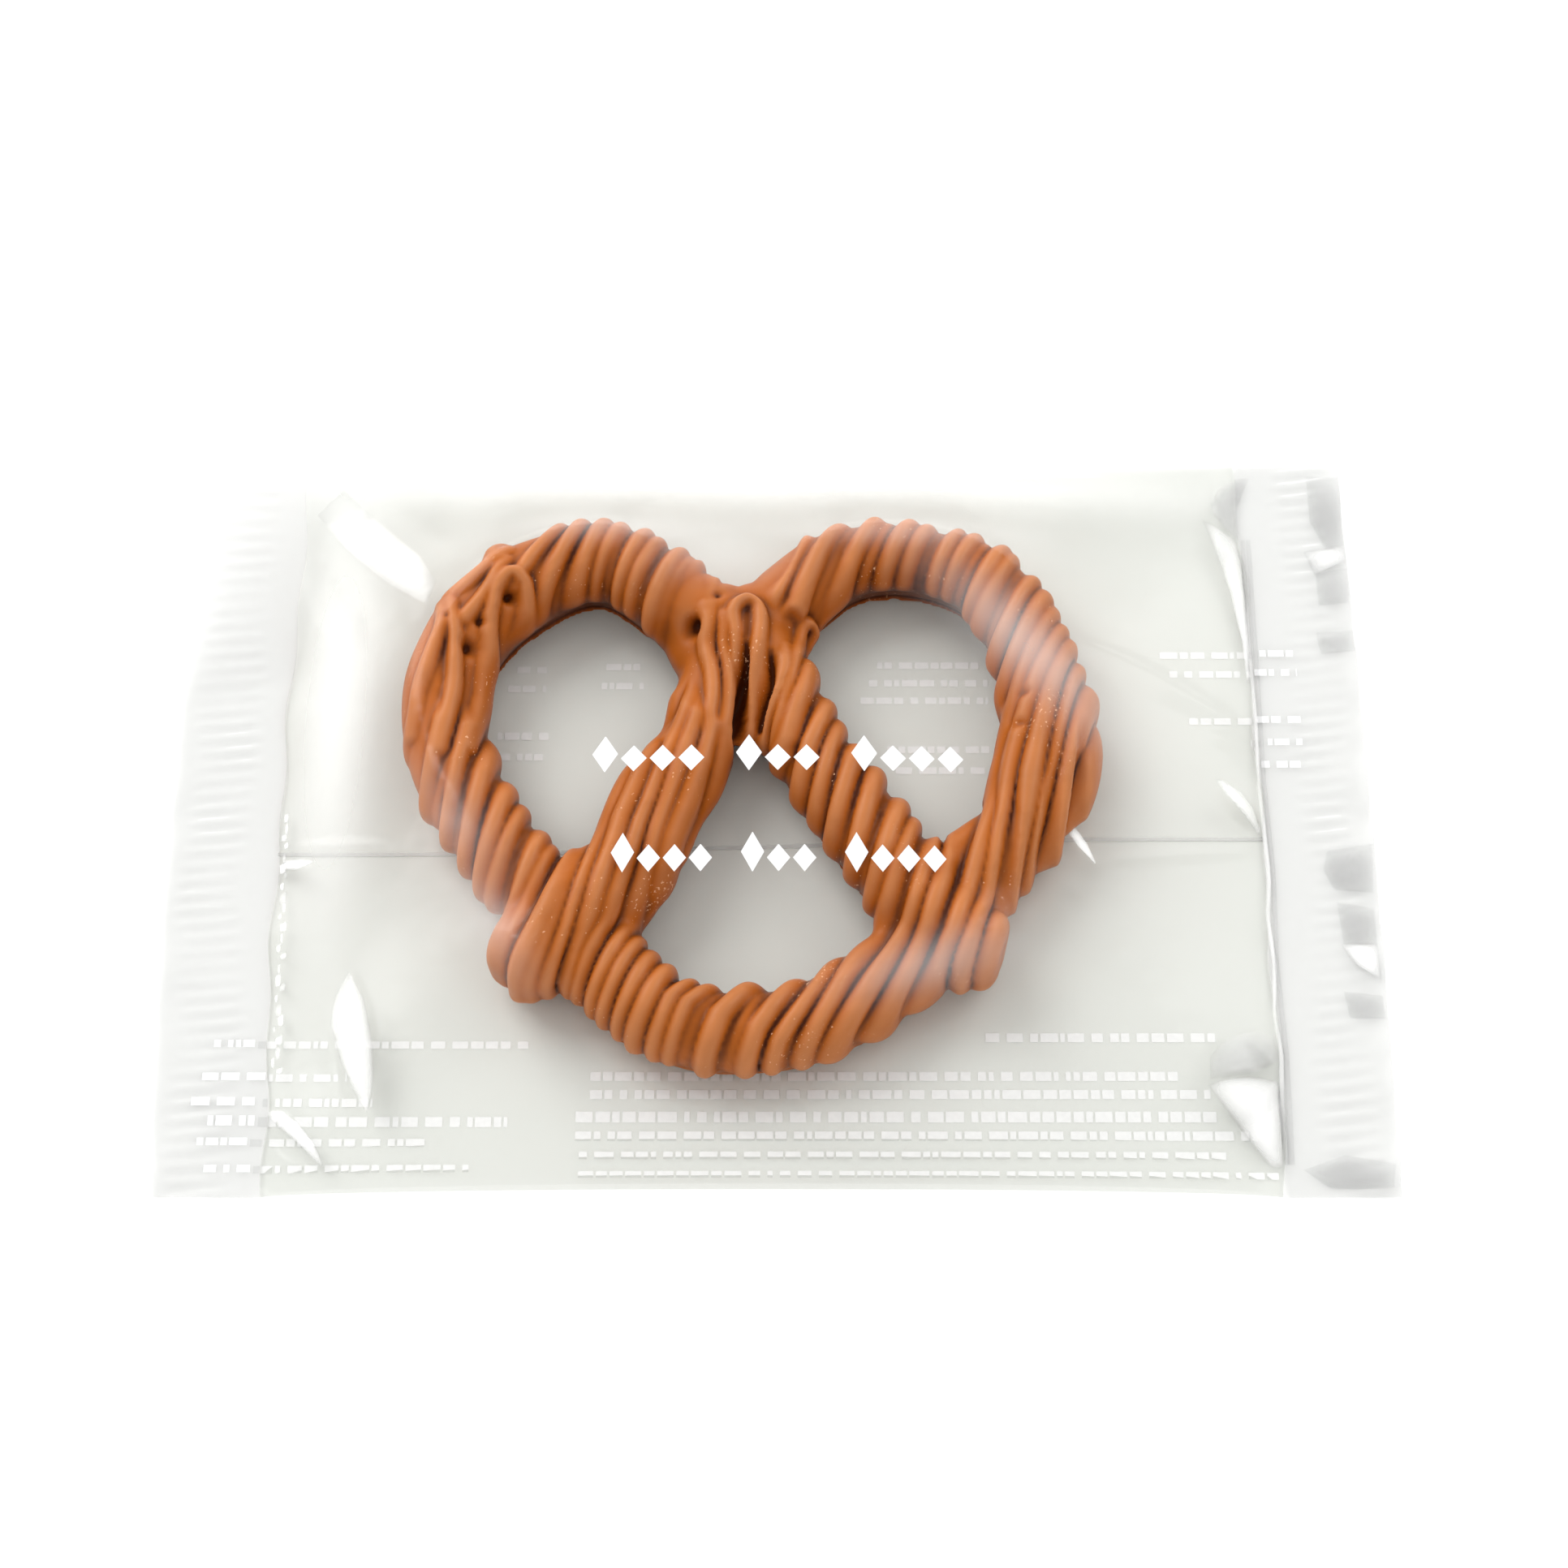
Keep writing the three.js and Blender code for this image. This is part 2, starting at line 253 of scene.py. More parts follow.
# Folds and leaf-shaped dents of the front film: both ends of the fold's line, how far it
# slopes to the left and to the right of that line, and its height
FOLDS = [
    (-46.6, -22.5, -45.6, -40.0, 2.6, 1.6, 0.75),
    (-55.6, -37.5, -48.0, -45.0, 1.6, 2.4, 0.70),
    (-56.4, -8.0, -52.3, -8.8, 1.2, 1.4, 0.45),
    (-54.0, 38.5, -38.6, 17.5, 3.6, 2.6, 0.40),
    (-51.5, 36.5, -42.5, 25.2, 1.6, 1.6, 0.20),
    (-54.6, 33.0, -47.5, 18.0, 2.6, 3.2, -0.30),
    (51.0, 2.4, 56.2, -2.8, 1.3, 1.9, 0.60),
    (50.0, 8.0, 56.2, 8.0, 1.4, 1.6, 0.45),
    (33.0, 17.6, 56.4, 10.0, 2.2, 3.2, 0.70),
    (33.4, -9.6, 36.6, -12.6, 0.9, 1.1, 0.50),
    (47.0, -35.2, 56.6, -32.8, 5.0, 6.0, 1.10),
    (53.0, 45.0, 53.6, 31.0, 2.6, 3.0, 0.55),
    (37.0, -11.0, 57.0, -5.4, 0.7, 0.9, 0.25),
    (-57.0, -5.0, -41.5, -8.6, 0.8, 0.9, 0.25),
    (-40.0, 43.5, 44.0, 44.0, 2.0, 3.0, 0.50),
    (-44.0, -43.5, 46.0, -43.0, 1.6, 1.6, 0.35),
    (8.0, -34.0, 44.0, -41.0, 2.4, 2.4, 0.30),
    (-8.0, -34.0, -42.0, -42.0, 2.6, 2.2, 0.30),
]

# Small folds of the front film that are pressed flat: strength and both edges of each. Where they
# lie doubled the film gets a grey haze, a painted shade, and where they are creased a white haze, a
# painted glint.
PAINTED_SHADE_FOLDS = [
    (1.0, [(56.4, 45.7), (54.3, 44.0), (53.0, 41.3), (53.2, 39.7), (55.1, 37.5)],
     [(58.1, 45.8), (57.2, 43.6), (56.4, 41.3), (56.3, 39.0), (56.3, 36.8)]),
    (1.0, [(48.5, -32.5), (50.0, -30.5), (52.4, -29.0), (54.4, -28.4), (56.1, -28.8)],
     [(48.4, -35.2), (50.2, -34.9), (52.9, -34.3), (54.8, -33.2), (56.4, -31.7)]),
    (0.8, [(65.0, 46.0), (65.0, 39.6), (66.6, 35.4)], [(68.8, 45.6), (68.8, 40.0), (68.8, 35.8)]),
    (0.7, [(65.2, 32.0), (65.2, 27.5)], [(68.9, 32.6), (68.8, 27.7)]),
    (0.6, [(64.6, 23.8), (65.0, 20.8)], [(69.0, 24.2), (69.0, 20.9)]),
    (1.0, [(63.8, -5.4), (63.2, -7.9), (64.2, -10.4)], [(68.9, -4.9), (68.8, -8.0), (68.6, -11.0)]),
    (0.8, [(64.4, -12.0), (64.8, -17.4)], [(68.6, -13.0), (68.5, -17.6)]),
    (0.7, [(64.3, -23.2), (64.8, -26.6)], [(68.7, -23.8), (68.7, -26.8)]),
    (0.9, [(58.3, -44.8), (63.1, -43.0), (68.4, -44.4)], [(61.1, -47.0), (64.0, -47.1), (68.0, -47.0)]),
    (0.4, [(57.1, 36.9), (57.0, 21.4), (56.9, 3.9), (57.1, -8.7), (56.8, -19.8), (57.0, -31.2),
           (56.7, -44.2)],
     [(57.7, 36.9), (57.6, 21.4), (57.4, 3.9), (57.7, -8.7), (57.3, -19.8), (57.7, -31.2),
      (57.4, -44.2)]),
]
PAINTED_GLINT_FOLDS = [
    (0.9, [(51.8, 38.8), (53.1, 34.8), (54.6, 29.1), (55.7, 22.3), (55.9, 16.7)],
     [(55.8, 36.7), (56.4, 33.8), (56.6, 29.2), (56.6, 22.4), (56.3, 16.8)]),
    (1.0, [(48.1, -35.8), (49.6, -37.8), (51.4, -40.2), (52.9, -42.4), (54.8, -44.7)],
     [(50.3, -35.0), (53.0, -34.5), (56.3, -34.2), (56.4, -39.3), (56.1, -44.5)]),
    (0.9, [(51.1, 2.3), (52.3, 0.5), (54.1, -1.4), (56.0, -3.4)],
     [(52.0, 2.6), (54.3, 1.6), (55.6, 0.0), (56.4, -3.0)]),
    (0.8, [(33.3, -8.4), (34.7, -10.2), (36.3, -11.6)], [(34.1, -7.4), (35.5, -9.2), (36.4, -11.4)]),
    (0.8, [(-47.0, -22.6), (-48.4, -25.2), (-48.8, -28.4), (-47.4, -33.1), (-45.8, -36.6),
           (-44.2, -39.2)],
     [(-46.9, -22.6), (-45.0, -26.2), (-43.8, -31.2), (-43.5, -35.1), (-43.7, -37.2), (-44.1, -39.2)]),
    (0.7, [(-55.9, -6.9), (-55.4, -8.4), (-54.1, -8.8), (-52.0, -8.1)],
     [(-55.8, -6.8), (-54.6, -7.1), (-53.2, -7.5), (-52.0, -8.0)]),
    (0.8, [(-55.8, -38.1), (-53.9, -40.2), (-51.3, -42.7), (-49.0, -45.0)],
     [(-54.0, -37.7), (-51.9, -39.6), (-49.9, -42.2), (-48.7, -44.8)]),
    (0.4, [(-54.4, 38.3), (-50.2, 32.5), (-45.0, 26.6), (-40.0, 21.8)],
     [(-51.4, 41.6), (-46.2, 35.8), (-41.5, 30.3), (-39.0, 25.2)]),
    (0.6, [(64.0, 35.2), (65.0, 31.8)], [(68.8, 35.6), (68.9, 33.6)]),
    (0.9, [(64.4, -17.4), (66.0, -20.2)], [(68.5, -17.6), (68.6, -22.0)]),
    (0.5, [(56.5, 36.9), (56.2, 21.4), (56.5, 12.5), (56.2, 3.9), (56.6, -8.7), (56.1, -14.0),
           (56.5, -19.8), (56.1, -26.0), (56.5, -31.2), (56.1, -37.0), (56.2, -44.2)],
     [(57.0, 36.9), (56.9, 21.4), (57.0, 12.5), (56.8, 3.9), (57.3, -8.7), (56.7, -14.0),
      (57.2, -19.8), (56.6, -26.0), (57.2, -31.2), (56.8, -37.0), (56.8, -44.2)]),
]
# The row of small painted glints, white creases, along the left seal: ends of the row and how many
GLINT_CREASE_ROW = (-56.2, -1.0, -55.2, -33.0, 26)

# Painted reflections: hazy white places of the front film that stand in for the lights' sheen on it; x,
# y, radius along and across, angle and strength
PAINTED_REFLECTIONS = [
    (29.5, 15.2, 12.5, 4.0, -50, 0.26),
    (18.0, -24.5, 9.0, 2.6, 15, 0.20),
    (-31.3, -19.1, 7.0, 2.5, -60, 0.16),
    (-50.5, 10.0, 26.0, 5.0, 90, 0.45),
    (0.0, 42.0, 60.0, 4.0, 0, 0.35),
    (-35.5, -6.0, 8.0, 2.5, -55, 0.10),
    (-19.1, 32.5, 11.0, 2.2, 0, 0.14),
    (16.2, 32.1, 12.0, 2.2, 0, 0.14),
    (-6.0, 28.5, 7.0, 4.0, 0, 0.13),
]

# Back print: rows of small bars, each row's distance across the pack and its left and right ends
PRINT_ROWS = [
    (-28.7, 24.0, 50.0, 1.1),
    (-29.6, -62.0, -27.0, 0.9),
    (-33.4, -20.0, 46.0, 1.1),
    (-33.6, -63.0, -47.0, 0.9),
    (-35.6, -20.0, 49.0, 1.1),
    (-36.6, -64.0, -44.0, 1.0),
    (-38.3, -21.5, 50.0, 1.3),
    (-38.9, -62.0, -29.0, 1.2),
    (-40.6, -21.5, 54.0, 1.1),
    (-41.4, -63.0, -38.0, 0.9),
    (-43.0, -21.0, 50.0, 0.9),
    (-44.6, -62.0, -33.0, 0.9),
    (-45.4, -21.0, 56.0, 0.8),
    (19.6, 12.5, 24.5, 0.9),
    (17.2, 11.5, 25.5, 0.9),
    (14.8, 10.5, 25.5, 0.9),
    (8.2, 13.5, 25.5, 0.9),
    (5.4, 14.5, 25.0, 0.9),
    (19.4, -19.5, -15.5, 0.9),
    (16.8, -20.0, -15.0, 0.9),
    (19.0, -30.0, -26.5, 0.9),
    (16.4, -31.0, -26.5, 0.9),
    (10.0, -32.0, -26.0, 1.0),
    (7.2, -31.5, -26.0, 0.9),
    (21.0, 46.0, 62.0, 0.9),
    (18.4, 47.0, 62.0, 0.9),
    (12.0, 49.0, 62.0, 0.9),
    (9.0, 56.0, 62.0, 0.9),
    (6.0, 57.0, 62.0, 0.9),
]

# Front print: two rows of lozenges, each with the row's middle, then places along it and sizes
FRONT_ROWS = [
    (0.2, -18.6, 20.2, 4.2, 3.0, (3, 7)),
    (-12.2, -16.4, 18.2, 4.4, 3.0, (3, 6)),
]

# The pretzel's three holes: the middle of each and how far its walls can be
HOLES = [
    (-22.5, 9.0, 21.0),
    (17.5, 11.5, 21.0),
    (-1.5, -15.0, 20.0),
]
CORE_INSET = 0.62
SEAM_EDGE = 0.5

# The end seals' ribs, and how far their free margins are ruffled on each side
RIB_PITCH = 1.85
RIB_SLOPE = 0.11
MARGIN_RUFFLE = {-1: 0.05, 1: 0.14}

# The photo's camera
CAMERA_ELEVATION = math.radians(61.2)
CAMERA_DISTANCE = 408.9
CAMERA_TARGET = (1.5, 3.65)
IMAGE_SIDE = 1932
FOCAL_PIXELS = 4340
SENSOR = 36.0

KEY_AZIMUTH = -45
KEY_ELEVATION = 50
KEY_STRENGTH = 0.85
KEY_SPREAD = math.radians(30)


def deselect():
    bpy.ops.object.select_all(action="DESELECT")


def make_active(piece):
    deselect()
    piece.select_set(True)
    bpy.context.view_layer.objects.active = piece


def apply_modifier(piece, kind, **settings):
    make_active(piece)
    modifier = piece.modifiers.new(kind.title(), kind)
    for name, value in settings.items():
        setattr(modifier, name, value)
    bpy.ops.object.modifier_apply(modifier=modifier.name)


def vertex_array(piece, field="co"):
    values = np.empty(3 * len(piece.data.vertices))
    piece.data.vertices.foreach_get(field, values)
    return values.reshape(-1, 3)


def move_vertices(piece, places):
    piece.data.vertices.foreach_set("co", np.ascontiguousarray(places).ravel())
    piece.data.update()


def finish_piece(piece, name, material):
    piece.name = name
    piece.data.name = name
    piece.data.materials.clear()
    piece.data.materials.append(material)
    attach(piece, "root")


def smooth_shade(piece, degrees):
    make_active(piece)
    bpy.ops.object.shade_smooth_by_angle(angle=math.radians(degrees))


# Camera

def make_camera():
    height = CAMERA_DISTANCE * math.sin(CAMERA_ELEVATION)
    reach = CAMERA_DISTANCE * math.cos(CAMERA_ELEVATION)
    place = (CAMERA_TARGET[0] * MM, (CAMERA_TARGET[1] - reach) * MM, height * MM)
    bpy.ops.object.camera_add(location=place, rotation=(math.pi / 2 - CAMERA_ELEVATION, 0, 0))
    camera = bpy.context.object
    camera.name = "photo_camera"
    camera.data.sensor_width = SENSOR
    camera.data.lens = SENSOR * FOCAL_PIXELS / IMAGE_SIDE
    bpy.context.scene.camera = camera


# Curves and plan

def rope_samples(route, count):
    """Evenly spaced points of a route, each x, y, height and width, and their distances along it."""
    knots = np.array(route)
    first = 2 * knots[0] - knots[1]
    last = 2 * knots[-1] - knots[-2]
    padded = np.vstack([first, knots, last])
    fine = []
    for i in range(len(knots) - 1):
        four = padded[i:i + 4]
        gaps = [math.sqrt(math.dist(four[k][:3], four[k + 1][:3])) for k in range(3)]
        leave = (four[1] - four[0]) / gaps[0] - (four[2] - four[0]) / (gaps[0] + gaps[1])
        leave = (leave + (four[2] - four[1]) / gaps[1]) * gaps[1]
        arrive = (four[2] - four[1]) / gaps[1] - (four[3] - four[1]) / (gaps[1] + gaps[2])
        arrive = (arrive + (four[3] - four[2]) / gaps[2]) * gaps[1]
        for t in np.linspace(0, 1, 40, endpoint=False):
            start = 2 * t ** 3 - 3 * t ** 2 + 1
            end = -2 * t ** 3 + 3 * t ** 2
            fine.append(start * four[1] + (t ** 3 - 2 * t ** 2 + t) * leave
                        + end * four[2] + (t ** 3 - t ** 2) * arrive)
    fine.append(knots[-1])
    fine = np.array(fine)
    steps = np.linalg.norm(np.diff(fine[:, :3], axis=0), axis=1)
    along = np.concatenate([[0], np.cumsum(steps)])
    places = np.linspace(0, along[-1], count)
    samples = np.column_stack([np.interp(places, along, fine[:, k]) for k in range(4)])
    return places, samples


def fill_at(x):
    reach = PACK_LENGTH / 2 - SEAL_WIDTH
    along = np.minimum(1, np.abs(x) / reach)
    return np.sqrt(1 - along * along)


def half_width_at(x):
    return PACK_WIDTH / 2 + SEAL_FLARE * (1 - fill_at(x))


def half_length_at(x, y):
    bulge = np.where(x < 0, LEFT_BULGE, RIGHT_BULGE)
    across = np.minimum(1, np.abs(y) / (PACK_WIDTH / 2))
    return PACK_LENGTH / 2 - bulge * across * across


def border_wander(u, y):
    """How far the inner border of an end seal strays from a straight line."""
    share = 1 - SEAL_WIDTH / (PACK_LENGTH / 2)
    near = np.exp(-((np.abs(u) - share) / 0.04) ** 2)
    return near * (0.25 * np.sin(y / 2.3 + u) + 0.22 * np.sin(y / 5.1 + 2))


def plan_point(u, v):
    y = v * half_width_at(u * PACK_LENGTH / 2)
    return u * half_length_at(u, y) + border_wander(u, y), y


def ripple_at(y):
    long_wave = np.cos(2 * math.pi * y / WAVE_PITCH)
    short_wave = np.cos(2 * math.pi * y / SHORT_WAVE_PITCH)
    return 0.5 - 0.3 * long_wave - 0.2 * short_wave


def back_height(x, y):
    to_fold = half_width_at(x) - np.abs(y)
    turn_up = np.maximum(0, 1 - to_fold / FOLD_REACH)
    corner = np.hypot(x + PACK_LENGTH / 2, y - PACK_WIDTH / 2)
    curl = np.maximum(0, 1 - corner / CORNER_REACH) ** CORNER_CURVE
    to_end = half_length_at(x, y) - np.abs(x)
    margin = np.maximum(0, 1 - to_end / WAVE_INSET)
    wave = np.where(x < 0, LEFT_WAVE, RIGHT_WAVE)
    ripple = wave * margin * ripple_at(y)
    return FOLD_LIFT * fill_at(x) * turn_up ** 2 + CORNER_LIFT * curl + ripple


def rope_support(x, y):
    """The height at which the rope carries the film over each point, or nothing."""
    _, samples = rope_samples(ROPE_ROUTE[1:-1], 220)
    top = np.zeros_like(x)
    for sx, sy, sz, width in samples:
        reach = width / 2 + FILM_CLEARANCE
        left = np.maximum(0, reach ** 2 - (x - sx) ** 2 - (y - sy) ** 2)
        top = np.maximum(top, np.where(left > 0, sz + np.sqrt(left), 0))
    return top


def relax_film(heights, support, cell_x, cell_y, steps):
    """Draws the film tight between its pinned border and the rope."""
    weight_x = 1 / cell_x ** 2
    weight_y = 1 / cell_y ** 2
    for _ in range(steps):
        along_x = weight_x * (heights[:-2, 1:-1] + heights[2:, 1:-1])
        along_y = weight_y * (heights[1:-1, :-2] + heights[1:-1, 2:])
        drawn = (along_x + along_y + AIR_PUFF) / (2 * weight_x + 2 * weight_y)
        heights[1:-1, 1:-1] = np.maximum(drawn, support[1:-1, 1:-1])
    return heights


def fold_relief(x, y):
    """Height that the film's folds and dents add."""
    relief = np.zeros_like(x)
    for x0, y0, x1, y1, left_width, right_width, height in FOLDS:
        length = math.hypot(x1 - x0, y1 - y0)
        ahead = ((x1 - x0) / length, (y1 - y0) / length)
        along = ((x - x0) * ahead[0] + (y - y0) * ahead[1]) / length
        aside = (x - x0) * ahead[1] - (y - y0) * ahead[0]
        taper = np.sin(math.pi * np.clip(along, 0, 1)) ** 0.8
        left = np.clip(1 + aside / (left_width * np.maximum(taper, 0.2)), 0, 1)
        right = np.clip(1 - aside / (right_width * np.maximum(taper, 0.2)), 0, 1)
        relief += height * taper * np.minimum(left, right)
    return relief


def film_grid(columns, rows):
    """Plan and height of the front film over a grid of the pack's body."""
    share = 1 - SEAL_WIDTH / (PACK_LENGTH / 2)
    u, v = np.meshgrid(np.linspace(-share, share, columns), np.linspace(-1, 1, rows), indexing="ij")
    x, y = plan_point(u, v)
    fold = np.where(np.abs(v) > 1 - 1e-9, FOLD_HEIGHT * fill_at(x), 0)
    support = rope_support(x, y)
    heights = np.maximum(back_height(x, y) + SEAL_THICKNESS + fold, support)
    return x, y, heights, support


def resample(grid, columns, rows):
    first = np.linspace(0, 1, grid.shape[0])
    wanted = np.linspace(0, 1, columns)
    half = np.array([np.interp(wanted, first, grid[:, j]) for j in range(grid.shape[1])]).T
    second = np.linspace(0, 1, grid.shape[1])
    wanted = np.linspace(0, 1, rows)
    return np.array([np.interp(wanted, second, half[i]) for i in range(columns)])


def front_film(columns, rows):
    coarse_x, _, heights, support = film_grid(55, 43)
    body = 2 * (PACK_LENGTH / 2 - SEAL_WIDTH)
    heights = relax_film(heights, support, body / 54, PACK_WIDTH / 42, 1500)
    x, y, border, support = film_grid(columns, rows)
    fine = resample(heights, columns, rows)
    fine[0], fine[-1] = border[0], border[-1]
    fine[:, 0], fine[:, -1] = border[:, 0], border[:, -1]
    fine = relax_film(fine, support, body / (columns - 1), PACK_WIDTH / (rows - 1), 60)
    clear_of_border = np.clip((PACK_LENGTH / 2 - SEAL_WIDTH - np.abs(x)) / 1.5, 0, 1)
    clear_of_border *= np.clip((half_width_at(x) - np.abs(y)) / 1.5, 0, 1)
    clear_of_rope = np.clip((fine - support) / 1.2, 0, 1)
    return x, y, fine + fold_relief(x, y) * clear_of_border * clear_of_rope


def height_on(heights, x, y):
    """Height of a film grid over points of the plan."""
    columns, rows = heights.shape
    share = 1 - SEAL_WIDTH / (PACK_LENGTH / 2)
    u = x / half_length_at(x, y)
    v = y / half_width_at(x)
    column = np.clip((u + share) / (2 * share) * (columns - 1), 0, columns - 1.001)
    row = np.clip((v + 1) / 2 * (rows - 1), 0, rows - 1.001)
    i, j = column.astype(int), row.astype(int)
    across, up = column - i, row - j
    near = heights[i, j] * (1 - across) + heights[i + 1, j] * across
    far = heights[i, j + 1] * (1 - across) + heights[i + 1, j + 1] * across
    return near * (1 - up) + far * up


# Pretzel

def drizzle_place(x, y):
    """Distances across and along the drizzle's direction, in millimetres."""
    across = x * math.sin(DRIZZLE_ANGLE) - y * math.cos(DRIZZLE_ANGLE)
    along = x * math.cos(DRIZZLE_ANGLE) + y * math.sin(DRIZZLE_ANGLE)
    bow = DRIZZLE_BOW * np.sin(2 * math.pi * np.clip(along, -40, 40) / DRIZZLE_BOW_LENGTH)
    return across + bow, along


def bell(offset):
    """A string's rounded profile: 1 at its crest, 0 where it meets the coating at offset 1."""
    return np.maximum(0, 1 - offset ** 2) ** PROFILE_POWER


def traced_relief(x, y, trace):
    """Height of one string or furrow that is given by its points."""
    relief = np.zeros_like(x)
    length = sum(math.dist(a[:2], b[:2]) for a, b in zip(trace, trace[1:]))
    _, samples = rope_samples(trace, int(length / TRACE_STEP) + 2)
    reach = samples[:, 3].max()
    low = samples.min(axis=0) - reach
    high = samples.max(axis=0) + reach
    near = (x > low[0]) & (x < high[0]) & (y > low[1]) & (y < high[1])
    nearest = np.full(near.sum(), np.inf)
    shape = np.zeros(near.sum())
    for sx, sy, height, half_width in samples:
        away = np.hypot(x[near] - sx, y[near] - sy)
        closer = away < nearest
        nearest = np.where(closer, away, nearest)
        shape = np.where(closer, height * bell(away / half_width), shape)
    relief[near] = shape
    return relief


def drizzle_relief(x, y):
    """How far the strings stand off the coating."""
    across, along = drizzle_place(x, y)
    total = np.zeros_like(x)
    for i, (*places, height, half_width) in enumerate(STRINGS):
        place = np.interp(along, STRING_KNOTS, places)
        place += STRING_WANDER * (np.sin(along / 8.5 + 2.4 * i) + 0.7 * np.sin(along / 3.6 + 1.1 * i))
        uneven = 1 + 0.12 * np.sin(along / 6.3 + 1.7 * i)
        string = height * uneven * bell((across - place) / (half_width * uneven))
        total += string ** STRING_BLEND
    for k in range(FINE_STRINGS):
        place = FINE_PITCH * (k - FINE_STRINGS / 2) + 1.7 * math.sin(5.0 * k)
        slant = 0.11 * math.sin(2.1 * k) + 0.04
        fine = FINE_HEIGHT * bell((across - place - slant * along) / FINE_HALF_WIDTH)
        total += fine ** STRING_BLEND
    for u, v, half_width, half_length in SMOOTH_PATCHES:
        away = ((across - u) / half_width) ** 2 + ((along - v) / half_length) ** 2
        total *= np.clip((away - 0.6) / 0.8, 0, 1) ** STRING_BLEND
    for x0, y0, radius_x, radius_y in HAND_LAID:
        away = ((x - x0) / radius_x) ** 2 + ((y - y0) / radius_y) ** 2
        total *= np.clip((away - 0.7) / 0.6, 0, 1) ** STRING_BLEND
    for trace in TRACED_STRINGS:
        total += traced_relief(x, y, trace) ** STRING_BLEND
    relief = total ** (1 / STRING_BLEND)
    for trace in FURROWS:
        relief -= traced_relief(x, y, trace)
    for u, v, radius, depth in PITS:
        relief -= depth * np.exp(-((x - u) ** 2 + (y - v) ** 2) / radius ** 2)
    return relief


def hole_facing(places, normals):
    """How far each point looks into one of the three holes, from 0 to 1."""
    facing = np.full(len(places), -1.0)
    for x, y, reach in HOLES:
        to_hole = np.column_stack([x - places[:, 0], y - places[:, 1]])
        away = np.hypot(to_hole[:, 0], to_hole[:, 1])
        along = (to_hole * normals[:, :2]).sum(axis=1) / away
        facing = np.where(away < reach, np.maximum(facing, along), facing)
    return np.clip(1.6 * facing, 0, 1)


def add_strand(curve, route, share, drop):
    """Adds one tube along a route to a curve object, blunt at both ends."""
    places, samples = rope_samples(route, max(12, int(ROPE_SAMPLES * len(route) / len(ROPE_ROUTE))))
    spline = curve.splines.new("POLY")
    spline.points.add(len(samples) - 1)
    for point, place, (x, y, z, width) in zip(spline.points, places, samples):
        radius = share * width / 2 - CORE_INSET + SWELL
        to_end = min(place, places[-1] - place)
        blunt = 0.85 * radius
        if to_end < blunt:
            radius *= math.sqrt(max(0.02, 1 - (1 - to_end / blunt) ** 2))
        point.co = (x * MM, y * MM, (z - drop) * MM, 1)
        point.radius = radius


def cut_base(piece):
    """Cuts the piece flat where it rests."""
    make_active(piece)
    bpy.ops.object.mode_set(mode="EDIT")
    bpy.ops.mesh.select_all(action="SELECT")
    bpy.ops.mesh.bisect(
        plane_co=(0, 0, BASE_HEIGHT * MM), plane_no=(0, 0, 1), use_fill=True, clear_inner=True)
    bpy.ops.object.mode_set(mode="OBJECT")


def make_rope():
    deselect()
    bpy.ops.curve.primitive_nurbs_path_add()
    rope = bpy.context.object
    rope.data.splines.clear()
    add_strand(rope.data, ROPE_ROUTE, 1, 0)
    add_strand(rope.data, ROPE_ROUTE, SKIRT_SHARE, SKIRT_DROP)
    for web in WEBS:
        add_strand(rope.data, web, 1, 0)
    rope.data.bevel_depth = MM
    rope.data.bevel_resolution = 7
    rope.data.use_fill_caps = True
    make_active(rope)
    bpy.ops.object.convert(target="MESH")
    rope = bpy.context.object
    apply_modifier(rope, "REMESH", mode="VOXEL", voxel_size=SWOLLEN_VOXEL * MM)
    apply_modifier(rope, "SMOOTH", factor=0.5, iterations=3)
    shrunk = vertex_array(rope) - SWELL * MM * vertex_array(rope, "normal")
    move_vertices(rope, shrunk)
    apply_modifier(rope, "REMESH", mode="VOXEL", voxel_size=SWOLLEN_VOXEL * MM)
    cut_base(rope)
    apply_modifier(rope, "REMESH", mode="VOXEL", voxel_size=VOXEL * MM)
    apply_modifier(rope, "SMOOTH", factor=0.5, iterations=FILLET_PASSES)
    return rope


def neighbour_mean(piece, values, passes):
    """The values at a mesh's vertices, each averaged with its neighbours' a few times."""
    edges = np.empty(2 * len(piece.data.edges), dtype=int)
    piece.data.edges.foreach_get("vertices", edges)
    first, second = edges.reshape(-1, 2).T
    count = np.bincount(edges, minlength=len(values))
    for _ in range(passes):
        total = np.zeros_like(values)
        for k in range(values.shape[1]):
            total[:, k] = np.bincount(first, values[second, k], len(values))
            total[:, k] += np.bincount(second, values[first, k], len(values))
        values = 0.5 * values + 0.5 * total / np.maximum(count, 1)[:, None]
    return values


def hollowness(piece):
    """How far each vertex lies below its surroundings, in millimetres: below 0 on a crest."""
    places = vertex_array(piece) / MM
    around = neighbour_mean(piece, places, HOLLOW_PASSES)
    return ((around - places) * vertex_array(piece, "normal")).sum(axis=1)


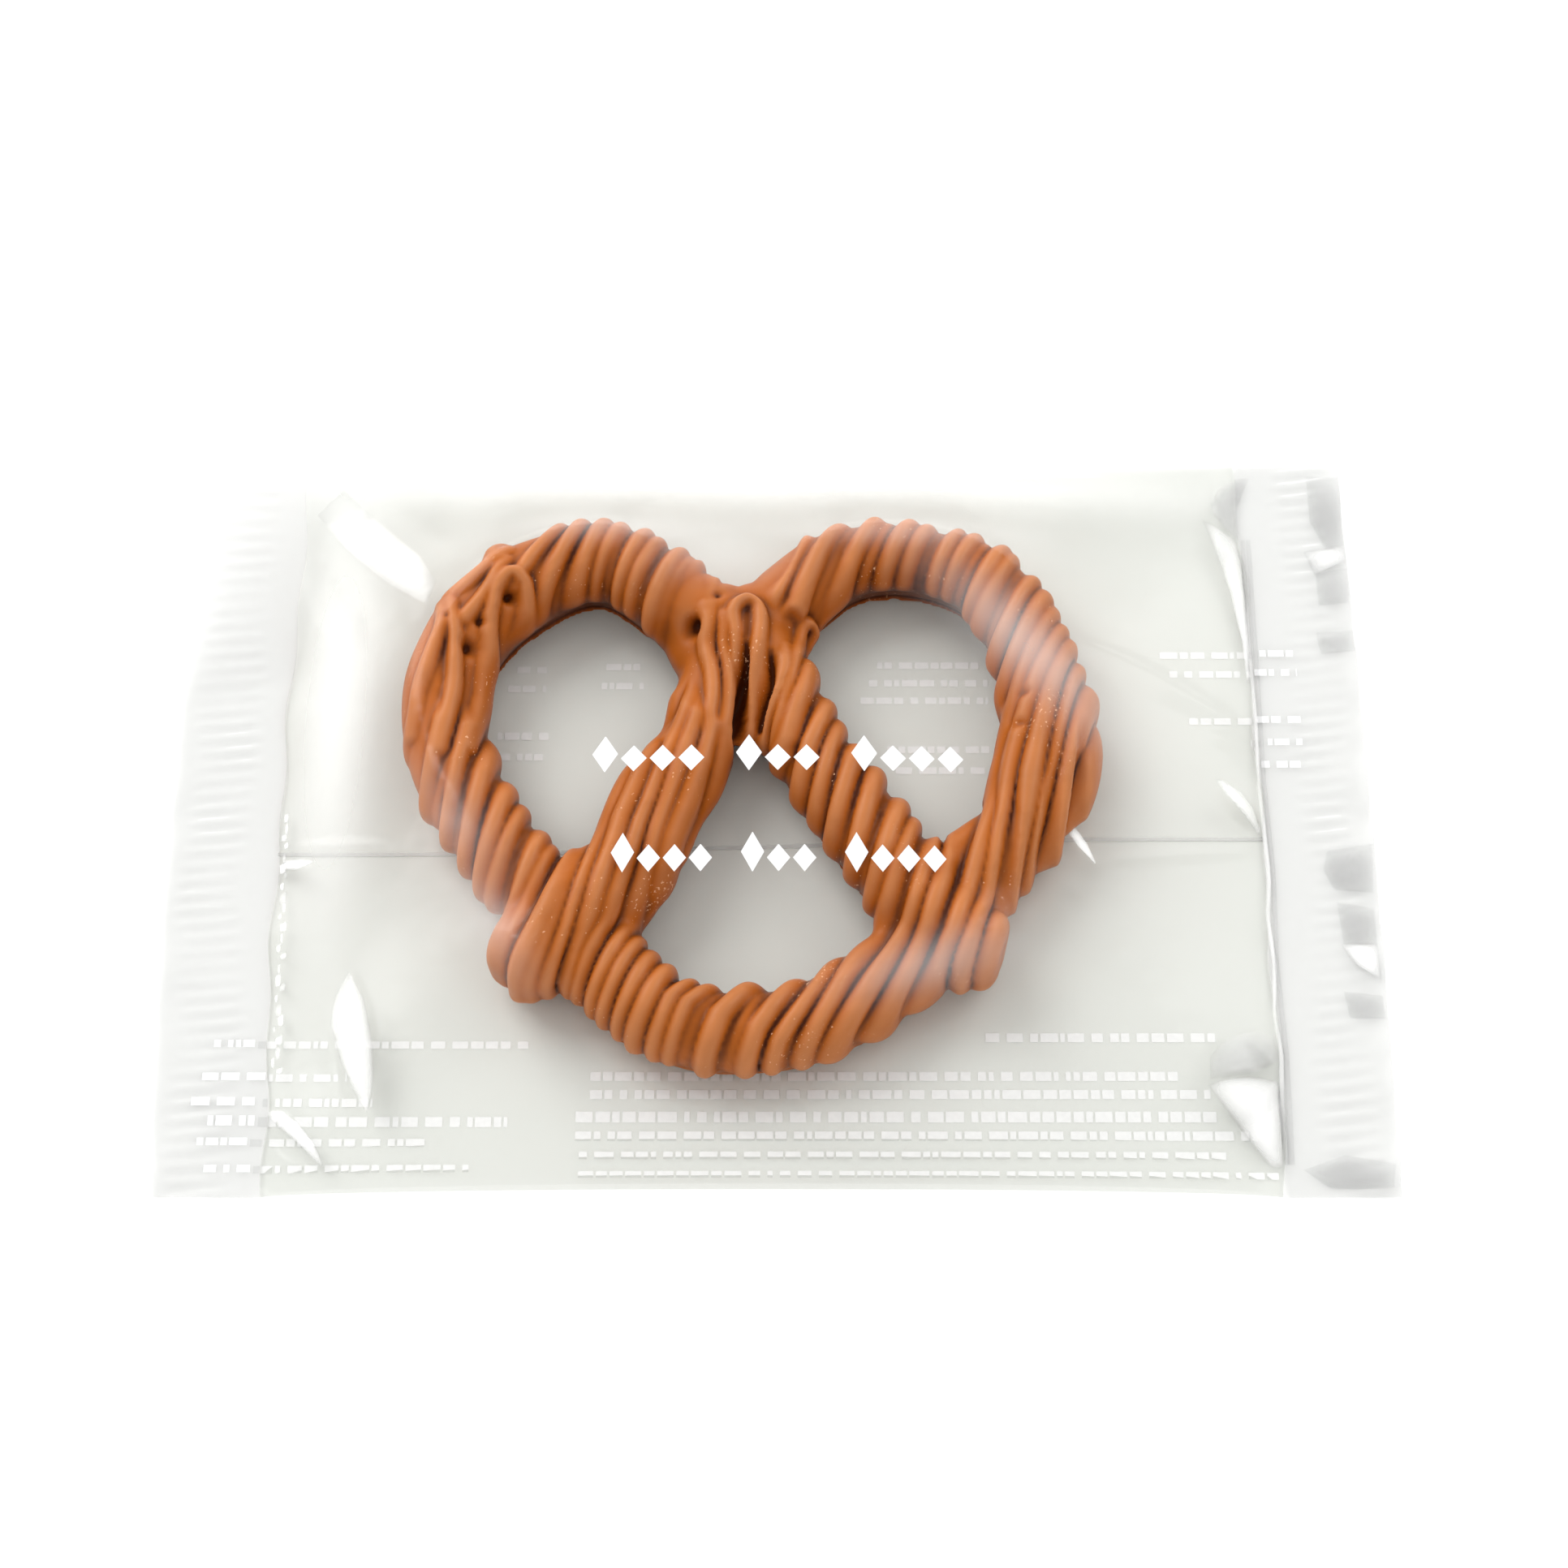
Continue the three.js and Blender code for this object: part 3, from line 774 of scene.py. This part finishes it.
def make_pretzel(film_heights, material):
    pretzel = make_rope()
    places = vertex_array(pretzel) / MM
    normals = vertex_array(pretzel, "normal")
    relief = drizzle_relief(places[:, 0], places[:, 1])
    height = places[:, 2]
    front_facing = np.clip(-1.3 * normals[:, 1], 0, 1)
    into_hole = hole_facing(places, normals)
    foot = STRING_FOOT + FRONT_FOOT * front_facing + HOLE_FOOT * into_hole
    wall_shade = into_hole * np.clip((WALL_TOP - height) / 4, 0, 1)
    fade = np.clip((height - foot) / FOOT_FADE, 0, 1)
    places += normals * (relief * fade)[:, None]
    lump = np.sin(places[:, 0] / 3.7) * np.sin(places[:, 1] / 4.1 + 0.6)
    lump += 0.6 * np.sin(places[:, 0] / 1.9 + places[:, 1] / 2.6)
    places += normals * (LUMP_HEIGHT * lump)[:, None]
    rim = RIM_REACH * np.exp(-((height - RIM_HEIGHT) / RIM_SPREAD) ** 2)
    places[:, :2] += normals[:, :2] * rim[:, None]
    places[:, 2] = np.maximum(places[:, 2], BASE_HEIGHT)
    lid = height_on(film_heights, places[:, 0], places[:, 1]) - 0.12
    places[:, 2] = np.minimum(places[:, 2], lid)
    move_vertices(pretzel, places * MM)
    apply_modifier(pretzel, "SMOOTH", factor=0.5, iterations=2)
    # Painted light and shade: crests get a pale painted sheen, and the hollows and the lower walls of the
    # holes get a painted shade
    painted_sheen_and_shade = pretzel.data.attributes.new("painted_sheen_and_shade", "FLOAT", "POINT")
    painted_sheen_and_shade.data.foreach_set("value", 0.5 + hollowness(pretzel) + WALL_PAINTED_SHADE * wall_shade)
    smooth_shade(pretzel, 80)
    finish_piece(pretzel, "coated_pretzel", material)
    return pretzel


# Film

def grid_piece(columns, rows):
    deselect()
    bpy.ops.mesh.primitive_grid_add(x_subdivisions=columns - 1, y_subdivisions=rows - 1, size=1)
    return bpy.context.object


def grid_order(piece, columns, rows):
    """For each vertex of a fresh grid, its column and row."""
    places = vertex_array(piece)
    i = np.rint((places[:, 0] + 0.5) * (columns - 1)).astype(int)
    j = np.rint((places[:, 1] + 0.5) * (rows - 1)).astype(int)
    return i, j


def closed_skin(x, y, front, back, haze_and_painted_light):
    """A closed skin with a front and a back face over the same plan, given as grids.

    haze_and_painted_light is the share of its haze that shows at each place; much of this haze is painted
    reflection, glint and shade."""
    columns, rows = x.shape
    halves = []
    for heights in (front, back):
        half = grid_piece(columns, rows)
        i, j = grid_order(half, columns, rows)
        move_vertices(half, np.column_stack([x[i, j], y[i, j], heights[i, j]]) * MM)
        attribute = half.data.attributes.new("haze_and_painted_light", "FLOAT", "POINT")
        attribute.data.foreach_set("value", haze_and_painted_light[i, j])
        halves.append(half)
    upper, lower = halves
    make_active(lower)
    bpy.ops.object.mode_set(mode="EDIT")
    bpy.ops.mesh.select_all(action="SELECT")
    bpy.ops.mesh.flip_normals()
    bpy.ops.object.mode_set(mode="OBJECT")
    make_active(upper)
    lower.select_set(True)
    bpy.ops.object.join()
    bpy.ops.object.mode_set(mode="EDIT")
    bpy.ops.mesh.select_mode(type="EDGE")
    bpy.ops.mesh.select_all(action="DESELECT")
    bpy.ops.mesh.select_non_manifold()
    bpy.ops.mesh.bridge_edge_loops()
    bpy.ops.mesh.select_mode(type="VERT")
    bpy.ops.object.mode_set(mode="OBJECT")
    return upper


def painted_reflection_share(x, y):
    """The share of light that the front film scatters at its painted reflections."""
    total = np.zeros_like(x)
    for x0, y0, radius_along, radius_across, degrees, strength in PAINTED_REFLECTIONS:
        turn = math.radians(degrees)
        along = (x - x0) * math.cos(turn) + (y - y0) * math.sin(turn)
        across = (y - y0) * math.cos(turn) - (x - x0) * math.sin(turn)
        total += strength * np.exp(-(along / radius_along) ** 2 - (across / radius_across) ** 2)
    return total


def make_film(front_grid, material, back_material):
    x, y, front = front_grid
    film = closed_skin(x, y, front, back_height(x, y), painted_reflection_share(x, y))
    smooth_shade(film, 60)
    finish_piece(film, "film", material)
    film.data.materials.append(back_material)
    for face in film.data.polygons:
        face.material_index = 1 if face.normal.z < -0.2 else 0
    return film


def make_back_seam(material):
    """The free edge of the back film's lap, a narrow strip between the end seals."""
    columns, rows = 60, 3
    reach = 1 - SEAL_WIDTH / (PACK_LENGTH / 2)
    u, v = np.meshgrid(np.linspace(-reach, reach, columns), np.linspace(-1, 1, rows), indexing="ij")
    x = u * PACK_LENGTH / 2
    edge = -4.6 + 0.5 * np.sin(x / 23) + 0.012 * x
    y = edge + 0.5 * SEAM_EDGE * v
    base = back_height(x, y) + 0.03
    seam = closed_skin(x, y, base + 0.04, base, np.ones_like(x))
    smooth_shade(seam, 60)
    finish_piece(seam, "back_seam", material)
    return seam


def fold_piece(fold, heights):
    """One small pressed fold, a thin closed skin between its two edges that fades at its border."""
    columns, rows = 40, 9
    strength, *edges = fold
    steps = np.linspace(0, 1, columns)
    sides = []
    for edge in edges:
        points = np.array(edge)
        knots = np.linspace(0, 1, len(edge))
        sides.append([np.interp(steps, knots, points[:, k]) for k in (0, 1)])
    share = np.linspace(0, 1, rows)
    x = np.outer(sides[0][0], 1 - share) + np.outer(sides[1][0], share)
    y = np.outer(sides[0][1], 1 - share) + np.outer(sides[1][1], share)
    border = PACK_LENGTH / 2 - SEAL_WIDTH
    on_seal = back_height(x, y) + SEAL_THICKNESS
    base = np.where(np.abs(x) < border, height_on(heights, x, y), on_seal) + 0.04
    fade = np.outer(np.sin(math.pi * steps) ** 0.6, np.sin(math.pi * share) ** 0.8)
    return closed_skin(x, y, base + 0.03, base, strength * fade)


def make_folds(name, folds, heights, material):
    piece = joined([fold_piece(fold, heights) for fold in folds])
    bpy.ops.object.mode_set(mode="EDIT")
    bpy.ops.mesh.select_all(action="SELECT")
    bpy.ops.mesh.normals_make_consistent(inside=False)
    bpy.ops.object.mode_set(mode="OBJECT")
    finish_piece(piece, name, material)
    return piece


def glint_crease_row():
    """Small creases side by side, each a painted glint."""
    x0, y0, x1, y1, count = GLINT_CREASE_ROW
    row = []
    for k in range(count):
        share = k / (count - 1)
        x = x0 + share * (x1 - x0) + 0.3 * math.sin(2.3 * k)
        y = y0 + share * (y1 - y0)
        length = 1.0 + 0.4 * math.sin(1.7 * k)
        width = 0.7 + 0.3 * math.sin(4.1 * k)
        strength = 0.6 + 0.35 * math.sin(2.9 * k)
        far_edge = [(x + width, y + 0.3), (x + width, y - length)]
        row.append((strength, [(x, y), (x + 0.2, y - length)], far_edge))
    return row


def make_seal(side, material):
    columns, rows = 22, 420
    share = 1 - SEAL_WIDTH / (PACK_LENGTH / 2)
    ends = (-1, -share) if side < 0 else (share, 1)
    u, v = np.meshgrid(np.linspace(*ends, columns), np.linspace(-1, 1, rows), indexing="ij")
    x, y = plan_point(u, v)
    inset = PACK_LENGTH / 2 - np.abs(u) * PACK_LENGTH / 2
    inner = 9.6 + 0.5 * np.sin(y / 6.1) if side < 0 else 8.4 + 0.3 * np.sin(y / 7.3)
    outer = 1.6 + 0.6 * np.sin(y / 4.7 + 1)
    band = np.clip((inset - outer) / 1.2, 0, 1) * np.clip((inner - inset) / 1.2, 0, 1)
    slope = RIB_SLOPE * (inset - 6) * side
    uneven = 0.62 + 0.38 * np.sin(y / 5.3 + 0.4 * inset) * np.sin(y / 2.9 + 2)
    rib = 0.16 * uneven * band * np.sin(2 * math.pi * (y + slope) / RIB_PITCH)
    ruffle = np.sin(y / 1.7 + 0.9 * inset) * np.sin(y / 3.1 - 0.5 * inset) + 0.5 * np.sin(y / 0.8 + inset)
    rib += MARGIN_RUFFLE[side] * ruffle * np.clip((outer + 0.8 - inset) / 1.2, 0, 1)
    middle = back_height(x, y) + 0.25 + rib
    seal = closed_skin(x, y, middle + 0.06, middle - 0.06, np.ones_like(x))
    smooth_shade(seal, 60)
    finish_piece(seal, "left_seal" if side < 0 else "right_seal", material)
    return seal


# Print

def joined(pieces):
    make_active(pieces[0])
    for piece in pieces[1:]:
        piece.select_set(True)
    bpy.ops.object.join()
    return bpy.context.object


def make_back_print(material):
    """Rows of short bars on the inside of the back film and on the end seals."""
    random = np.random.default_rng(7)
    bars = []
    for y, start, end, height in PRINT_ROWS:
        x = start
        while x < end:
            length = min(random.uniform(0.5, 2.2), end - x)
            deselect()
            bpy.ops.mesh.primitive_cube_add(size=1)
            bar = bpy.context.object
            places = vertex_array(bar)
            bar_x = x + (places[:, 0] + 0.5) * length
            bar_y = y + places[:, 1] * height
            on_seal = abs(x + length / 2) > PACK_LENGTH / 2 - SEAL_WIDTH
            lift = SEAL_THICKNESS if on_seal else 0.02
            base = back_height(np.full(8, x + length / 2), np.full(8, y)) + lift
            move_vertices(bar, np.column_stack([bar_x, bar_y, base + 0.01 * places[:, 2]]) * MM)
            bars.append(bar)
            x += length + random.choice([0.25, 0.3, 0.8])
    piece = joined(bars)
    finish_piece(piece, "back_print", material)
    return piece


def make_front_print(heights, material):
    """Rows of small lozenges on the front film."""
    shapes = []
    for y, start, end, tall, low, gaps in FRONT_ROWS:
        count = 13
        pitch = (end - start) / (count - 1)
        for k in range(count):
            if k in (4, 8):
                continue
            size = tall if k in (0, 5, 9) else low
            deselect()
            bpy.ops.mesh.primitive_grid_add(x_subdivisions=4, y_subdivisions=4, size=1)
            shape = bpy.context.object
            places = vertex_array(shape)
            turned_x = (places[:, 0] + places[:, 1]) * 0.5 * pitch * 0.9
            turned_y = (places[:, 1] - places[:, 0]) * 0.5 * size * 1.1
            x = start + k * pitch + turned_x
            shape_y = y - 2 + size / 2 + turned_y
            z = height_on(heights, x, shape_y) + 0.05
            move_vertices(shape, np.column_stack([x, shape_y, z]) * MM)
            shapes.append(shape)
    piece = joined(shapes)
    apply_modifier(piece, "SOLIDIFY", thickness=0.02 * MM, offset=1)
    finish_piece(piece, "front_print", material)
    return piece


# Materials

def new_material(name):
    material = bpy.data.materials.new(name)
    material.use_nodes = True
    tree = material.node_tree
    tree.nodes.clear()
    output = tree.nodes.new("ShaderNodeOutputMaterial")
    return material, tree, output


def add_node(tree, kind, **inputs):
    node = tree.nodes.new(kind)
    for name, value in inputs.items():
        key = name.replace("_", " ")
        if hasattr(value, "is_output"):
            tree.links.new(value, node.inputs[key])
        else:
            node.inputs[key].default_value = value
    return node


def chocolate_material():
    material, tree, output = new_material("milk_chocolate")
    coords = tree.nodes.new("ShaderNodeTexCoord").outputs["Object"]
    painted_sheen_and_shade = tree.nodes.new("ShaderNodeAttribute")
    painted_sheen_and_shade.attribute_name = "painted_sheen_and_shade"
    # Painted light and shade: the ramp runs from a pale, pinkish painted sheen on the crests to a painted
    # shade, nearly black, in the hollows and down the walls of the holes
    ramp = tree.nodes.new("ShaderNodeValToRGB")
    ramp.color_ramp.elements[0].position = 0.30
    ramp.color_ramp.elements[0].color = (0.49, 0.172, 0.056, 1)
    ramp.color_ramp.elements[1].position = 0.80
    ramp.color_ramp.elements[1].color = (0.07, 0.012, 0.0005, 1)
    middle = ramp.color_ramp.elements.new(0.53)
    middle.color = (0.385, 0.094, 0.008, 1)
    tree.links.new(painted_sheen_and_shade.outputs["Fac"], ramp.inputs["Fac"])
    mottle = add_node(tree, "ShaderNodeTexNoise", Vector=coords, Scale=190.0, Detail=3.0)
    shade = add_node(tree, "ShaderNodeMapRange", Value=mottle.outputs["Fac"])
    shade.inputs["From Min"].default_value = 0.3
    shade.inputs["From Max"].default_value = 0.7
    shade.inputs["To Min"].default_value = 0.93
    shade.inputs["To Max"].default_value = 1.07
    mottled = add_node(
        tree, "ShaderNodeHueSaturation", Value=shade.outputs["Result"], Color=ramp.outputs["Color"])
    dust = add_node(tree, "ShaderNodeTexNoise", Vector=coords, Scale=2600.0, Detail=1.0)
    field = add_node(tree, "ShaderNodeTexNoise", Vector=coords, Scale=110.0, Detail=1.0)
    specks = tree.nodes.new("ShaderNodeMath")
    specks.operation = "MULTIPLY_ADD"
    specks.inputs[1].default_value = 0.55
    tree.links.new(field.outputs["Fac"], specks.inputs[0])
    tree.links.new(dust.outputs["Fac"], specks.inputs[2])
    speckle = add_node(tree, "ShaderNodeMapRange", Value=specks.outputs[0])
    speckle.inputs["From Min"].default_value = 1.05
    speckle.inputs["From Max"].default_value = 1.12
    speckle.inputs["To Max"].default_value = 0.7
    paint = tree.nodes.new("ShaderNodeMix")
    paint.data_type = "RGBA"
    tree.links.new(speckle.outputs["Result"], paint.inputs["Factor"])
    tree.links.new(mottled.outputs["Color"], paint.inputs["A"])
    paint.inputs["B"].default_value = (0.85, 0.50, 0.30, 1)
    shader = add_node(tree, "ShaderNodeBsdfPrincipled")
    tree.links.new(paint.outputs["Result"], shader.inputs["Base Color"])
    shader.inputs["Roughness"].default_value = 0.40
    shader.inputs["Specular IOR Level"].default_value = 0.2
    grain = add_node(tree, "ShaderNodeTexNoise", Vector=coords, Scale=900.0, Detail=2.0)
    bump = add_node(tree, "ShaderNodeBump", Height=grain.outputs["Fac"])
    bump.inputs["Strength"].default_value = 0.15
    bump.inputs["Distance"].default_value = 0.0002
    tree.links.new(bump.outputs["Normal"], shader.inputs["Normal"])
    tree.links.new(shader.outputs["BSDF"], output.inputs["Surface"])
    return material


def new_group(name, inputs, output_name, output_kind):
    """An empty node group with number inputs and one output, and its two end nodes."""
    group = bpy.data.node_groups.new(name, "ShaderNodeTree")
    for input_name in inputs:
        group.interface.new_socket(input_name, in_out="INPUT", socket_type="NodeSocketFloat")
    group.interface.new_socket(output_name, in_out="OUTPUT", socket_type=output_kind)
    return group, group.nodes.new("NodeGroupInput"), group.nodes.new("NodeGroupOutput")


def wrinkle_group():
    """The film's fine wrinkles, put out as a normal."""
    group, given, result = new_group("film_wrinkles", ["Strength"], "Normal", "NodeSocketVector")
    coords = group.nodes.new("ShaderNodeTexCoord").outputs["Object"]
    noise = add_node(group, "ShaderNodeTexNoise", Vector=coords, Scale=70.0, Detail=3.0)
    bump = add_node(
        group, "ShaderNodeBump", Height=noise.outputs["Fac"], Strength=given.outputs["Strength"])
    bump.inputs["Distance"].default_value = 0.0006
    group.links.new(bump.outputs["Normal"], result.inputs["Normal"])
    return group


def grain_group():
    """The ink's fine grain, put out as a shade between the darkest and the palest."""
    group, given, result = new_group("ink_grain", ["Darkest", "Palest"], "Shade", "NodeSocketFloat")
    coords = group.nodes.new("ShaderNodeTexCoord").outputs["Object"]
    noise = add_node(group, "ShaderNodeTexNoise", Vector=coords, Scale=1800.0, Detail=2.0)
    spread = group.nodes.new("ShaderNodeMapRange")
    group.links.new(noise.outputs["Fac"], spread.inputs["Value"])
    group.links.new(given.outputs["Darkest"], spread.inputs["To Min"])
    group.links.new(given.outputs["Palest"], spread.inputs["To Max"])
    group.links.new(spread.outputs["Result"], result.inputs["Shade"])
    return group


def place_group(tree, group, **values):
    node = tree.nodes.new("ShaderNodeGroup")
    node.node_tree = group
    for name, value in values.items():
        node.inputs[name].default_value = value
    return node


def film_material(name, wrinkles, roughening, mirror_share, haze, veil, tint):
    """Clear film: a share mirrors, more of it at a glancing angle, and a share scatters.

    haze is the share that scatters where the skin's haze_and_painted_light value is 1, and veil is its
    colour."""
    material, tree, output = new_material(name)
    clear = tree.nodes.new("ShaderNodeBsdfTransparent")
    clear.inputs["Color"].default_value = (*tint, 1)
    wrinkled = place_group(tree, wrinkles, Strength=roughening)
    gloss = tree.nodes.new("ShaderNodeBsdfGlossy")
    gloss.inputs["Color"].default_value = (1, 1, 1, 1)
    gloss.inputs["Roughness"].default_value = 0.17
    tree.links.new(wrinkled.outputs["Normal"], gloss.inputs["Normal"])
    facing = tree.nodes.new("ShaderNodeLayerWeight")
    facing.inputs["Blend"].default_value = 0.5
    power = tree.nodes.new("ShaderNodeMath")
    power.operation = "POWER"
    power.inputs[1].default_value = 5.0
    tree.links.new(facing.outputs["Facing"], power.inputs[0])
    share = tree.nodes.new("ShaderNodeMath")
    share.operation = "MULTIPLY_ADD"
    share.inputs[1].default_value = 0.9
    share.inputs[2].default_value = mirror_share
    tree.links.new(power.outputs[0], share.inputs[0])
    mix = tree.nodes.new("ShaderNodeMixShader")
    tree.links.new(share.outputs[0], mix.inputs["Fac"])
    tree.links.new(clear.outputs[0], mix.inputs[1])
    tree.links.new(gloss.outputs[0], mix.inputs[2])
    milk = tree.nodes.new("ShaderNodeBsdfDiffuse")
    milk.inputs["Color"].default_value = (veil, veil, 0.99 * veil, 1)
    haze_and_painted_light = tree.nodes.new("ShaderNodeAttribute")
    haze_and_painted_light.attribute_name = "haze_and_painted_light"
    scattered = tree.nodes.new("ShaderNodeMath")
    scattered.operation = "MULTIPLY"
    scattered.inputs[1].default_value = haze
    tree.links.new(haze_and_painted_light.outputs["Fac"], scattered.inputs[0])
    hazy = tree.nodes.new("ShaderNodeMixShader")
    tree.links.new(scattered.outputs[0], hazy.inputs["Fac"])
    tree.links.new(mix.outputs[0], hazy.inputs[1])
    tree.links.new(milk.outputs[0], hazy.inputs[2])
    tree.links.new(hazy.outputs[0], output.inputs["Surface"])
    return material


def ink_material(name, grain, opacity, darkest, palest):
    """White ink, a little see-through where it's thin. It's too thin to cast a shadow."""
    material, tree, output = new_material(name)
    grained = place_group(tree, grain, Darkest=darkest, Palest=palest)
    shader = add_node(tree, "ShaderNodeBsdfPrincipled", Base_Color=grained.outputs["Shade"])
    shader.inputs["Roughness"].default_value = 0.5
    clear = tree.nodes.new("ShaderNodeBsdfTransparent")
    light_path = tree.nodes.new("ShaderNodeLightPath")
    cover = tree.nodes.new("ShaderNodeMath")
    cover.operation = "MULTIPLY_ADD"
    cover.inputs[1].default_value = -opacity
    cover.inputs[2].default_value = opacity
    tree.links.new(light_path.outputs["Is Shadow Ray"], cover.inputs[0])
    mix = tree.nodes.new("ShaderNodeMixShader")
    tree.links.new(cover.outputs[0], mix.inputs["Fac"])
    tree.links.new(clear.outputs[0], mix.inputs[1])
    tree.links.new(shader.outputs["BSDF"], mix.inputs[2])
    tree.links.new(mix.outputs[0], output.inputs["Surface"])
    return material


def floor_material():
    material, tree, output = new_material("pale_floor")
    shader = tree.nodes.new("ShaderNodeBsdfPrincipled")
    shader.inputs["Base Color"].default_value = (0.9, 0.9, 0.9, 1)
    shader.inputs["Roughness"].default_value = 0.9
    shader.inputs["Specular IOR Level"].default_value = 0.0
    tree.links.new(shader.outputs["BSDF"], output.inputs["Surface"])
    return material


# Stage and light

def make_stage():
    deselect()
    bpy.ops.mesh.primitive_plane_add(size=6, location=(0, 0, -0.00005))
    floor = bpy.context.object
    floor.name = "floor"
    floor.data.materials.append(floor_material())


def add_light(name, azimuth, elevation, distance, size, power, tint=(1, 1, 1)):
    """A soft box that faces the pack. Azimuth 0 is behind the pack, and 90 is on its right."""
    turn = math.radians(azimuth)
    rise = math.radians(elevation)
    place = (
        distance * math.cos(rise) * math.sin(turn),
        distance * math.cos(rise) * math.cos(turn),
        distance * math.sin(rise),
    )
    bpy.ops.object.light_add(
        type="AREA", location=place, rotation=(math.pi / 2 - rise, 0, math.pi - turn))
    light = bpy.context.object
    light.name = name
    light.data.shape = "RECTANGLE"
    light.data.size = size[0]
    light.data.size_y = size[1]
    light.data.energy = power
    light.data.color = tint


def add_key():
    """The high soft key light from behind on the left."""
    turn = math.radians(KEY_AZIMUTH)
    rise = math.radians(KEY_ELEVATION)
    bpy.ops.object.light_add(type="SUN", rotation=(math.pi / 2 - rise, 0, math.pi - turn))
    key = bpy.context.object
    key.name = "key"
    key.data.energy = KEY_STRENGTH
    key.data.angle = KEY_SPREAD
    key.visible_glossy = False


def make_lights():
    world = bpy.data.worlds.new("soft_room")
    world.use_nodes = True
    world.node_tree.nodes["Background"].inputs["Color"].default_value = (1, 1, 1, 1)
    world.node_tree.nodes["Background"].inputs["Strength"].default_value = 0.95
    world.cycles_visibility.glossy = False
    bpy.context.scene.world = world
    bpy.context.scene.view_settings.view_transform = "Standard"
    add_light("left_box", -43, 27, 1.3, (0.80, 0.60), 6.5)
    add_light("left_strip", -72, 48, 1.3, (0.14, 0.36), 1.0)
    add_light("right_box", 54, 36, 1.3, (0.55, 0.75), 3.5)
    add_light("back_box", 0, 12, 1.5, (1.6, 0.35), 4.0)
    add_key()


make_camera()
chocolate = chocolate_material()
wrinkles = wrinkle_group()
film_look = film_material("clear_film", wrinkles, 0.6, 0.018, 1.0, 0.95, (0.990, 0.993, 0.983))
back_look = film_material("back_film", wrinkles, 0.5, 0.03, 0.0, 0.95, (0.850, 0.856, 0.838))
lap_look = film_material("lapped_film", wrinkles, 0.3, 0.006, 0.35, 0.80, (0.990, 0.992, 0.988))
# The welded seals' white haze is partly their own frosting and partly a painted reflection
weld_look = film_material("welded_film", wrinkles, 0.8, 0.035, 0.16, 0.85, (0.942, 0.944, 0.939))
painted_shade_look = film_material("painted_shade_film", wrinkles, 0.9, 0.02, 0.32, 0.62, (0.99, 0.99, 0.99))
painted_glint_look = film_material("painted_glint_film", wrinkles, 0.9, 0.02, 0.75, 0.98, (0.99, 0.99, 0.99))
grain = grain_group()
front_ink = ink_material("white_print", grain, 0.94, 0.72, 0.84)
back_ink = ink_material("thin_white_print", grain, 0.9, 0.74, 0.84)
front_grid = front_film(210, 180)
pretzel = make_pretzel(front_grid[2], chocolate)
film = make_film(front_grid, film_look, back_look)
seals = [make_seal(side, weld_look) for side in (-1, 1)]
seam = make_back_seam(lap_look)
shade_folds = make_folds("painted_shade_folds", PAINTED_SHADE_FOLDS, front_grid[2], painted_shade_look)
glint_folds = make_folds("painted_glint_folds", PAINTED_GLINT_FOLDS + glint_crease_row(), front_grid[2], painted_glint_look)
back_print = make_back_print(back_ink)
front_print = make_front_print(front_grid[2], front_ink)
for piece in [film, *seals, seam, shade_folds, glint_folds, pretzel, back_print, front_print]:
    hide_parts(NODE)
make_stage()
make_lights()
